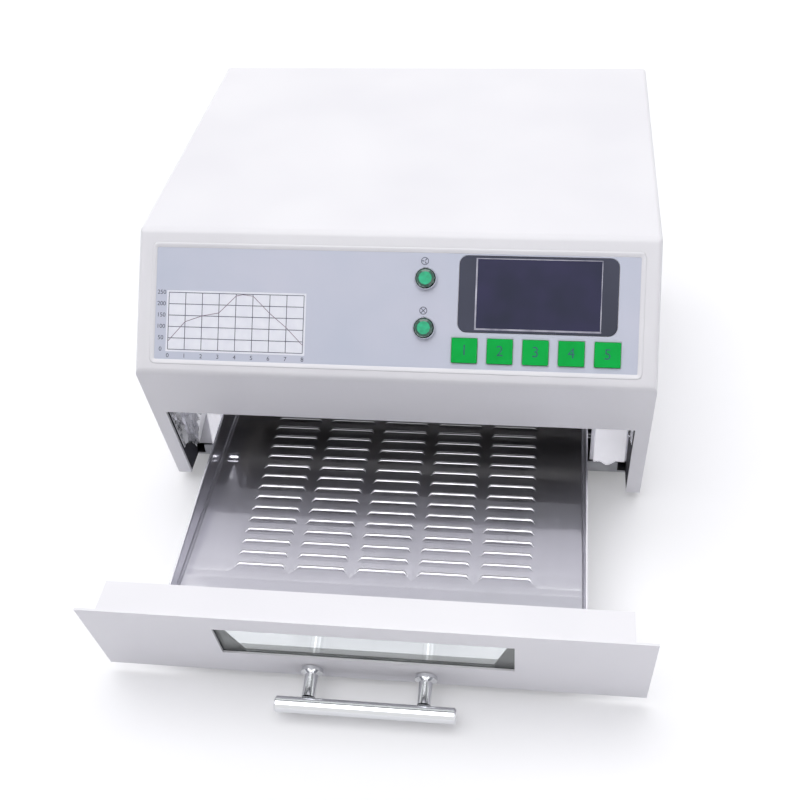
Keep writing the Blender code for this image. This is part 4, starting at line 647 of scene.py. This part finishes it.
# Outline of a fan blade in shares of the circle's radius, outwards and across.
BLADE = ((0.05, 0.0), (0.35, 0.22), (0.75, 0.30), (0.85, 0.05), (0.5, -0.05))
symbols = bmesh.new()
for level, drop in LAMP_DROPS.items():
    middle = Vector((LAMP_X + SYMBOL_SHIFT, -drop + SYMBOL_RISE))
    circle = [middle + SYMBOL_RADIUS * Vector((math.cos(a), math.sin(a)))
              for a in (math.tau * i / 28 for i in range(29))]
    ribbon(symbols, circle, SYMBOL_LINE, ink_low, ink_high)
    for i in range(SYMBOL_ARMS[level]):
        turn = math.tau * i / SYMBOL_ARMS[level] + math.radians(45)
        out = Vector((math.cos(turn), math.sin(turn)))
        across = Vector((-out.y, out.x))
        if level == "upper":
            blade = [middle + out * r * SYMBOL_RADIUS + across * s * SYMBOL_RADIUS for r, s in BLADE]
            loft(symbols, [[symbols.verts.new((*p, z)) for p in blade] for z in (ink_low, ink_high)])
        else:
            ribbon(symbols, [middle, middle + out * SYMBOL_RADIUS], SYMBOL_LINE, ink_low,
                   ink_high + INK_HEIGHT / 4)
new_piece("lamp_symbols", symbols, slate_ink, "case", on=fascia_plane)


# Keys: five square caps moulded in green, each over a tact switch on the board. Each carries a printed
# number in dark teal.

# Green key caps: moulded ABS with a fine spark-eroded grain, drawn at 0.6 mm.
green_abs, shader = begin_material("moulded_green_abs", "05AC47", 0.50, Specular_IOR_Level=0.15)
uneven(shader, 0.6, bump_mm=0.010)
uneven(shader, 10.0, colours=("04A643", "06B24B"), roughness=(0.45, 0.55))
# Pad-printing ink: a thin dark teal that sinks a little into the cap's grain.
teal_ink, shader = begin_material("teal_pad_ink", "0A5A5A", 0.45)
uneven(shader, 2.0, colours=("084E50", "0E6664"), roughness=(0.4, 0.5))

KEY_COUNT, KEY_FIRST_X, KEY_PITCH = 5, 0.0436, 0.0206
KEY_DROP, KEY_FACE, KEY_FIGURE = 0.0676, 0.0006, 0.0088
for number in range(1, KEY_COUNT + 1):
    dress(f"key_{number}", green_abs, 0.2)
    mark = bmesh.new()
    numeral(mark, str(number), KEY_FIRST_X + KEY_PITCH * (number - 1), -KEY_DROP, KEY_FIGURE,
            KEY_FACE - INK_HEIGHT / 2, INK_HEIGHT)
    new_piece(f"key_number_{number}", mark, teal_ink, f"key_{number}", on=fascia_plane)


# Control board: glass-epoxy laminate on four plated posts behind the fascia, with the key switches on its
# front.

# Solder mask: a thin green lacquer, half glossy. The laminate's weave shows as streaks, drawn at 2.4 mm.
laminate, shader = begin_material("solder_masked_laminate", "14572F", 0.38)
uneven(shader, 2.4, stretch=(1, 0.3, 0.3), colours=("114B29", "1A6438"), roughness=(0.3, 0.45))
dress("control_board", laminate)
for number in range(1, 5):
    dress(f"board_standoff_{number}", zinc_plate)


# Fan: an 80 mm axial fan moulded in black plastic behind the rear panel, with a chrome-plated wire guard
# and four screws outside.

# Glass-filled nylon: black, satin, with the swirl of the fibres just visible.
black_nylon, shader = begin_material("moulded_black_nylon", "1C1C1E", 0.46)
uneven(shader, 1.2, bump_mm=0.015)
uneven(shader, 14.0, colours=("18181A", "232326"), roughness=(0.40, 0.54))
dress("fan_frame", black_nylon, 0.4)
dress("fan_rotor", black_nylon, 0.25)
dress("fan_guard", chrome, 0.5)
FAN_X, FAN_Z, FAN_SCREW_OUT = -0.055, 0.0625, 0.03575
FAN_SCREW = (0.0031, 0.0018)
heads = bmesh.new()
for x in (FAN_X - FAN_SCREW_OUT, FAN_X + FAN_SCREW_OUT):
    for z in (FAN_Z - FAN_SCREW_OUT, FAN_Z + FAN_SCREW_OUT):
        screw_head(heads, Matrix.Translation((x, panel_high.y, z)) @ outward, *FAN_SCREW)
new_piece("fan_screws", heads, zinc_plate, "case")


# Mains inlet and switch: moulded black sockets in the rear panel, a three-pin inlet held by two screws
# and a rocker switch that snaps in above it, with a red rocker.

dress("power_inlet", black_nylon, 0.3)
dress("switch_frame", black_nylon, 0.3)
# Red polycarbonate: moulded with a polished face, so it is a glossy deep red.
red_rocker, shader = begin_material("moulded_red_polycarbonate", "A81A16", 0.25, Coat_Weight=0.2)
uneven(shader, 6.0, colours=("9E1713", "B21F1A"), roughness=(0.20, 0.30))
dress("switch_rocker", red_rocker, 0.3)
INLET_SCREW, INLET_SCREW_OUT, INLET_SCREW_SUNK = (0.0028, 0.0015), 0.020, 0.0002
inlet_low, inlet_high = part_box("power_inlet")
inlet_x, inlet_z = (inlet_low.x + inlet_high.x) / 2, (inlet_low.z + inlet_high.z) / 2
heads = bmesh.new()
for x in (inlet_x - INLET_SCREW_OUT, inlet_x + INLET_SCREW_OUT):
    at = Matrix.Translation((x, inlet_high.y - INLET_SCREW_SUNK, inlet_z)) @ outward
    screw_head(heads, at, *INLET_SCREW)
new_piece("inlet_screws", heads, zinc_plate, "case")


# Deck parts: a small mains transformer with a lacquered core, and a potted relay module, both on top of
# the chamber's jacket.

# Laminations: stacked 0.5 mm iron sheets under a thin lacquer, dark grey, with lines drawn at 1 mm.
laminations, shader = begin_material("lacquered_laminations", "47474B", 0.45, 0.6)
uneven(shader, 1.0, stretch=(0.05, 1, 0.05), colours=("3A3A3E", "57575C"), roughness=(0.38, 0.55),
       bump_mm=0.05)
dress("transformer", laminations, 0.5)
dress("relay_module", black_nylon, 0.6)


# Drawer front: one folded sheet with a slanted plate, a flange along its top and a gusset at each end,
# powder coated with the case. The window and the holes for the handle are punched through it.

dress("drawer_front", powder_coat, 0.45)


# Window: a pane of heat-proof glass behind the cut-out in the plate. A steel frame, painted black, holds it
# from behind.

# Heat-proof glass: clear and flat, with a faint green edge.
heat_glass, shader = begin_material("borosilicate_glass", "F3F8F6", 0.04, IOR=1.47, Transmission_Weight=1.0)
uneven(shader, 80.0, roughness=(0.02, 0.06))
dress("window_glass", heat_glass, 0.3)
# Black paint: matt and slightly rough from the spray. Its black is painted shade for the dark band seen round
# the inside of the window.
window_shade_paint, shader = begin_material("black_window_paint_painted_shade", "3A3E3F", 0.60)
uneven(shader, 1.2, bump_mm=0.02)
uneven(shader, 20.0, colours=("34393A", "434748"), roughness=(0.52, 0.68))

# The frame is a pressed sheet. Its opening is as deep as the window and narrows towards the bottom.
PLATE_TOP_EDGE, PLATE_LEAN = Vector((0, -0.212969, 0.0755)), 0.26396
plate_plane = Matrix.Translation(PLATE_TOP_EDGE) @ Matrix.Rotation(math.pi / 2 + PLATE_LEAN, 4, "X")
FRAME_HALF, FRAME_BOTTOM, FRAME_TOP, FRAME_FRONT, FRAME_BACK = 0.0860, -0.0507, -0.0092, -0.0058, -0.0074
OPENING_HALF_BOTTOM, OPENING_BOTTOM, OPENING_HALF_TOP, OPENING_TOP = 0.0690, -0.0488, 0.0800, -0.0130
FRAME_EDGE = 0.0003


def tapered_loop(shape, half_bottom, bottom, half_top, top, height):
    """A closed loop of four vertices, as wide at its bottom and its top as given."""
    corners = ((-half_bottom, bottom), (half_bottom, bottom), (half_top, top), (-half_top, top))
    return [shape.verts.new((x, y, height)) for x, y in corners]


pressed = bmesh.new()
outer = (FRAME_HALF, FRAME_BOTTOM, FRAME_HALF, FRAME_TOP)
opening = (OPENING_HALF_BOTTOM, OPENING_BOTTOM, OPENING_HALF_TOP, OPENING_TOP)
loops = [tapered_loop(pressed, *outer, FRAME_BACK), tapered_loop(pressed, *outer, FRAME_FRONT),
         tapered_loop(pressed, *opening, FRAME_FRONT), tapered_loop(pressed, *opening, FRAME_BACK)]
for one, two in zip(loops, loops[1:] + loops[:1]):
    stitch(pressed, one, two)
piece = new_piece("pressed_window_frame", pressed, window_shade_paint, "drawer",
                  on=plate_plane)
broken = piece.modifiers.new("broken_edges", "BEVEL")
broken.width, broken.segments = FRAME_EDGE, 2
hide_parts("window_frame")


# Handle: a chromed steel bar across two turned posts. They stand on the plate, and a zinc-plated screw from
# behind holds each of them.

dress("handle_bar", chrome)
for side in SIDES:
    dress(f"handle_post_{side}", chrome)
    dress(f"handle_screw_{side}", zinc_plate)


# Tray: thin stainless sheet with a louvred floor, folded up at the sides. A plate is welded outside each
# wall and carries a short runner. The louvres are pressed in five columns and open at their far edges.

# Bright-annealed stainless: a bright skin that mirrors sharply over a satin haze, with rolling lines along
# its length and slow waves in the thin sheet that bend what it reflects.
bright_stainless, shader = begin_material("bright_annealed_stainless", "DDDCE6", 0.31, 1.0, Coat_Weight=1.0,
                                          Coat_IOR=3.6, Coat_Roughness=0.04)
uneven(shader, 1.2, stretch=(1, 0.03, 1), roughness=(0.28, 0.34), bump_mm=0.001)
uneven(shader, 34.0, bump_mm=0.06, detail=1.0)

tray_low, tray_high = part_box("drawer_tray")
TRAY_SHEET, TRAY_HALF, TRAY_FLOOR, TRAY_WALL = 0.0008, 0.1170, 0.0330, 0.0040
SIDE_TOP_FRONT, SIDE_TOP_BACK, RUNNER_HALF, RUNNER_LENGTH = 0.0425, 0.0600, 0.1240, 0.0220
TRAY_FOLD, REAR_LIP, SHEET_GAUGE, WALL_SWAY = 0.0010, 0.0060, 0.0003, 0.00022
# Outwards from the wall: the inner and the outer face of the welded plate, and where the runner starts in it.
PLATE_INNER, PLATE_OUTER, RUNNER_ROOT = 0.0008, 0.0018, 0.0016
LOUVRE_COLUMNS, LOUVRE_ROWS, LOUVRE_PITCH_X, LOUVRE_PITCH_Y = 5, 15, 0.03632, 0.0095
LOUVRE_HALF, LOUVRE_REACH, LOUVRE_FRONT = 0.0154, 0.0044, 0.0547
# The lip's place behind its cell's middle, how far its ends curl forward, over what length, and the slit.
LOUVRE_LIP, LOUVRE_CURL, LOUVRE_ROUND, LOUVRE_SLIT = 0.0023, 0.0036, 0.0025, 0.0011
tray_front, tray_back = tray_low.y, tray_high.y - TRAY_SHEET
# Stations along a louvre, in metres from its end. Across it, its panel dips a little, in shares of its reach,
# and then a rounded bead, in metres, rises to the lip at the far edge, which overhangs the slit.
LOUVRE_ENDS = (0.0002, 0.0006, 0.0011, 0.0017, 0.0025, 0.0070)
LOUVRE_PANEL = ((-1.0, 0.0), (-0.94, -0.00003), (-0.60, -0.00009), (-0.30, -0.00020))
LOUVRE_BEAD = ((-0.00056, -0.00026), (-0.00045, -0.00013), (-0.00034, 0.00000), (-0.00022, 0.00008),
               (-0.00008, 0.00014), (0.00003, 0.00017), (0.00009, 0.00015), (0.00011, 0.00004))


def louvre(shape, middle, corners):
    """One louvre and the flat floor round it, inside a cell of the floor with four given corners."""
    spread = [-LOUVRE_HALF + e for e in LOUVRE_ENDS] + [0.0]
    spread += [LOUVRE_HALF - e for e in reversed(LOUVRE_ENDS)]
    far = LOUVRE_LIP - LOUVRE_CURL
    tips = [shape.verts.new(middle + Vector((x, far, 0.0))) for x in (-LOUVRE_HALF, LOUVRE_HALF)]
    lines = [[] for _ in LOUVRE_PANEL + LOUVRE_BEAD]
    slit = []
    for x in spread:
        rise = math.sin(math.pi / 2 * min(1.0, (LOUVRE_HALF - abs(x)) / LOUVRE_ROUND))
        lip = far + LOUVRE_CURL * rise
        section = [(back * rise * LOUVRE_REACH, up * rise) for back, up in LOUVRE_PANEL]
        section += [(back * min(1.0, rise * 1.4), up * rise ** 0.4) for back, up in LOUVRE_BEAD]
        for line, (back, up) in zip(lines, section):
            line.append(shape.verts.new(middle + Vector((x, lip + back, up))))
        slit.append(shape.verts.new(middle + Vector((x, lip + LOUVRE_SLIT * min(1.0, rise * 2), 0.0))))
    for one, two in zip(lines, lines[1:]):
        shape.faces.new((tips[0], one[0], two[0]))
        for i in range(len(spread) - 1):
            shape.faces.new((one[i], one[i + 1], two[i + 1], two[i]))
        shape.faces.new((one[-1], tips[1], two[-1]))
    near_left, near_right, far_right, far_left = corners
    shape.faces.new((near_left, near_right, tips[1], *reversed(lines[0]), tips[0]))
    shape.faces.new((far_right, far_left, tips[0], *slit, tips[1]))
    shape.faces.new((near_left, tips[0], far_left))
    shape.faces.new((near_right, far_right, tips[1]))


sheet = bmesh.new()
field_half = LOUVRE_PITCH_X * LOUVRE_COLUMNS / 2
field_front = tray_front + LOUVRE_FRONT - LOUVRE_PITCH_Y / 2
cuts_x = [LOUVRE_PITCH_X * i - field_half for i in range(LOUVRE_COLUMNS + 1)]
cuts_x = [TRAY_FOLD - TRAY_HALF] + cuts_x + [TRAY_HALF - TRAY_FOLD]
# In front of the louvres the floor curves up to a low step, in shares of that stretch and in metres.
FRONT_RISE = ((1.0, 0.00175), (0.7, 0.00175), (0.5, 0.00154), (0.4, 0.00128), (0.3, 0.00092),
              (0.2, 0.00055), (0.1, 0.00029), (0.0, 0.00012))
cuts_y = [field_front - (field_front - tray_front) * share for share, _ in FRONT_RISE]
cuts_y += [field_front + LOUVRE_PITCH_Y * i for i in range(1, LOUVRE_ROWS + 1)] + [tray_back]
floor_at = [TRAY_FLOOR + rise for _, rise in FRONT_RISE] + [TRAY_FLOOR] * (LOUVRE_ROWS + 1)
grid = [[sheet.verts.new((x, y, z)) for x in cuts_x] for y, z in zip(cuts_y, floor_at)]
for row, (one, two) in enumerate(zip(grid, grid[1:])):
    for column in range(len(cuts_x) - 1):
        corners = (one[column], one[column + 1], two[column + 1], two[column])
        if 0 <= row - len(FRONT_RISE) + 1 < LOUVRE_ROWS and 1 <= column <= LOUVRE_COLUMNS:
            middle = (corners[0].co + corners[2].co) / 2
            middle.z = TRAY_FLOOR
            louvre(sheet, middle, corners)
        else:
            sheet.faces.new(corners)
for sign in SIDES.values():
    grid = []
    for y, floor in zip(cuts_y, floor_at):
        share = (y - tray_front) / (tray_back - tray_front)
        top = between(SIDE_TOP_FRONT, SIDE_TOP_BACK, share) - TRAY_FLOOR
        sway = WALL_SWAY * noise.noise(Vector((y * 26, sign * 1.5, 0.2)))
        lift = floor - TRAY_FLOOR
        # Outwards from the wall and up from the floor: the fold and the wall, the wall's rolled rim, then the
        # plate, up its inner face, over its rounded top and down its outer face.
        section = [(-TRAY_FOLD, lift), (-0.0004, lift + 0.0001), (-0.0001, lift + 0.0004),
                   (sway / 2, TRAY_WALL * 0.65), (-0.00005, TRAY_WALL - 0.0006)]
        section += [(0.00005, TRAY_WALL - 0.0001), (0.00025, TRAY_WALL + 0.0001),
                    (0.0005, TRAY_WALL + 0.00004), (0.0007, TRAY_WALL - 0.00006)]
        section += [(PLATE_INNER, TRAY_WALL + 0.0003), (PLATE_INNER + sway, top * 0.8),
                    (PLATE_INNER, top - 0.0004), (0.0010, top - 0.00005), (0.0013, top),
                    (0.0016, top - 0.0001), (PLATE_OUTER, top - 0.0004), (PLATE_OUTER, 0.0006)]
        grid.append([sheet.verts.new((sign * (TRAY_HALF + x), y, TRAY_FLOOR + z)) for x, z in section])
    quads(sheet, grid)
    left, right = sorted((sign * (TRAY_HALF + RUNNER_ROOT), sign * RUNNER_HALF))
    ledge = TRAY_FLOOR + TRAY_WALL
    slab(sheet, left, right, tray_back - RUNNER_LENGTH, tray_back - TRAY_SHEET, ledge - TRAY_SHEET, ledge)
slab(sheet, -TRAY_HALF, TRAY_HALF, tray_back, tray_back + TRAY_SHEET, TRAY_FLOOR - TRAY_SHEET,
     TRAY_FLOOR + REAR_LIP)
bmesh.ops.remove_doubles(sheet, verts=sheet.verts, dist=SAME_PLACE)
piece = new_piece("louvred_tray", sheet, bright_stainless, "drawer", crisp=50.0)
# Faces that are level to within 2.8 degrees are shaded flat, so that the beads don't light up the floor.
LEVEL = 0.9988
for face in piece.data.polygons:
    face.use_smooth = abs(face.normal.z) < LEVEL
gauge = piece.modifiers.new("sheet_gauge", "SOLIDIFY")
gauge.thickness, gauge.offset = SHEET_GAUGE, 0.0
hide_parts("drawer_tray")
for side in SIDES:
    dress(f"tray_bracket_{side}", zinc_plate, 0.2)


# Tray clip: a strip of the tray's own stainless, bent up and spot-welded to the floor by the left wall,
# that a board's edge slides under.

CLIP_X, CLIP_Y, CLIP_HALF, CLIP_GAUGE = -0.1104, -0.0455, 0.0039, 0.0004
# Along the strip, in metres: how far back, how high over the floor, and what is cut off its half width.
CLIP_PATH = ((-0.0034, 0.0004, 0.0009), (-0.0030, 0.0004, 0.0002), (-0.0014, 0.0004, 0.0),
             (-0.0006, 0.0006, 0.0), (0.0000, 0.0011, 0.0), (0.0008, 0.0016, 0.0),
             (0.0022, 0.0019, 0.0002), (0.0026, 0.0019, 0.0009))
strip = bmesh.new()
grid = [[strip.verts.new((CLIP_X + across * (CLIP_HALF - cut), CLIP_Y + back, TRAY_FLOOR + up))
         for across in (-1.0, -0.5, 0.0, 0.5, 1.0)] for back, up, cut in CLIP_PATH]
quads(strip, grid)
piece = new_piece("tray_clip", strip, bright_stainless, "drawer", crisp=60.0)
gauge = piece.modifiers.new("strip_gauge", "SOLIDIFY")
gauge.thickness, gauge.offset = CLIP_GAUGE, 0.0


# Bench, light and camera: a plain white bench in front of a white backdrop, one broad soft light overhead
# and a weaker one low at the right. In view the bench is white, and it keeps the oven's shadow.

# Share of plain white in the bench where it is seen.
WHITE_IN_VIEW = 0.25


def add_in_view(tree):
    """1 for a ray from the camera, straight or by way of metal or glass, and 0 for light on the oven."""
    seen = add_node(tree, "ShaderNodeLightPath")
    by_way = add_node(tree, "ShaderNodeMath", {"operation": "MAXIMUM"},
                      {0: seen.outputs["Is Glossy Ray"], 1: seen.outputs["Is Transmission Ray"]})
    any_way = add_node(tree, "ShaderNodeMath", {"operation": "MAXIMUM"},
                       {0: seen.outputs["Is Camera Ray"], 1: by_way.outputs["Value"]})
    unscattered = add_node(tree, "ShaderNodeMath", {"operation": "LESS_THAN", 1: 0.5},
                           {0: seen.outputs["Diffuse Depth"]})
    return add_node(tree, "ShaderNodeMath", {"operation": "MULTIPLY"},
                    {0: any_way.outputs["Value"], 1: unscattered.outputs["Value"]})


bench_white = bpy.data.materials.new("white_bench_top")
bench_white.use_nodes = True
tree = bench_white.node_tree
tree.nodes.clear()
in_view = add_in_view(tree)
share = add_node(tree, "ShaderNodeMath", {"operation": "MULTIPLY", 1: WHITE_IN_VIEW},
                 {0: in_view.outputs["Value"]})
top = add_node(tree, "ShaderNodeBsdfDiffuse", {"Color": linear("F4F4F8")})
white = add_node(tree, "ShaderNodeEmission", {"Color": linear("FFFFFF"), "Strength": 1.0})
mixed = add_node(tree, "ShaderNodeMixShader", None,
                 {0: share.outputs["Value"], 1: top.outputs["BSDF"], 2: white.outputs["Emission"]})
add_node(tree, "ShaderNodeOutputMaterial", None, {"Surface": mixed.outputs["Shader"]})

BENCH_HALF = 4.0
bench_corners = [(x * BENCH_HALF, y * BENCH_HALF, 0) for x, y in ((-1, -1), (1, -1), (1, 1), (-1, 1))]
bench_mesh = bpy.data.meshes.new("bench")
bench_mesh.from_pydata(bench_corners, [], [(0, 1, 2, 3)])
bench_mesh.materials.append(bench_white)
bench = bpy.data.objects.new("bench", bench_mesh)
bpy.context.scene.collection.objects.link(bench)

# The surround is bright towards the backdrop and dim towards the room, and white where it is seen.
ROOM_LIGHT, BACKDROP_LIGHT = 0.07, 0.85
BACKDROP_FROM, BACKDROP_TO = -0.2, 0.4
world = bpy.data.worlds.new("white_surround")
bpy.context.scene.world = world
world.use_nodes = True
tree = world.node_tree
tree.nodes.clear()
in_view = add_in_view(tree)
where = add_node(tree, "ShaderNodeTexCoord")
axes = add_node(tree, "ShaderNodeSeparateXYZ", None, {"Vector": where.outputs["Generated"]})
level = add_node(tree, "ShaderNodeMapRange",
                 {"From Min": BACKDROP_FROM, "From Max": BACKDROP_TO, "To Min": ROOM_LIGHT,
                  "To Max": BACKDROP_LIGHT}, {"Value": axes.outputs["Y"]})
strength = add_node(tree, "ShaderNodeMapRange", {"To Max": 1.0},
                    {"Value": in_view.outputs["Value"], "To Min": level.outputs["Result"]})
surround = add_node(tree, "ShaderNodeBackground", {"Color": linear("FFFFFF")},
                    {"Strength": strength.outputs["Result"]})
add_node(tree, "ShaderNodeOutputWorld", None, {"Surface": surround.outputs["Background"]})

overhead = bpy.data.lights.new("soft_overhead_light", "SUN")
overhead.energy, overhead.angle = 2.5, math.radians(66)
low_fill = bpy.data.lights.new("soft_low_light", "AREA")
low_fill.energy, low_fill.size = 0.7, 0.5
for light, location, towards in ((overhead, (0, 0, 2), (0.16, 0.14, -1.0)),
                                 (low_fill, (0.75, -0.75, 0.28), (-0.62, 0.72, -0.24))):
    lamp = bpy.data.objects.new(light.name, light)
    lamp.location = location
    lamp.rotation_euler = Vector(towards).to_track_quat("-Z", "Y").to_euler()
    bpy.context.scene.collection.objects.link(lamp)

CAMERA_PLACE, CAMERA_TURN = (0.09018, -0.58626, 0.54283), (50.252, 2.876, 6.790)
camera_body = bpy.data.cameras.new("bench_camera")
camera_body.lens, camera_body.sensor_width = 51.96, 36.0
bench_camera = bpy.data.objects.new("bench_camera", camera_body)
bench_camera.location = CAMERA_PLACE
bench_camera.rotation_euler = [math.radians(a) for a in CAMERA_TURN]
bpy.context.scene.collection.objects.link(bench_camera)
bpy.context.scene.camera = bench_camera
bpy.context.scene.view_settings.view_transform = "Standard"
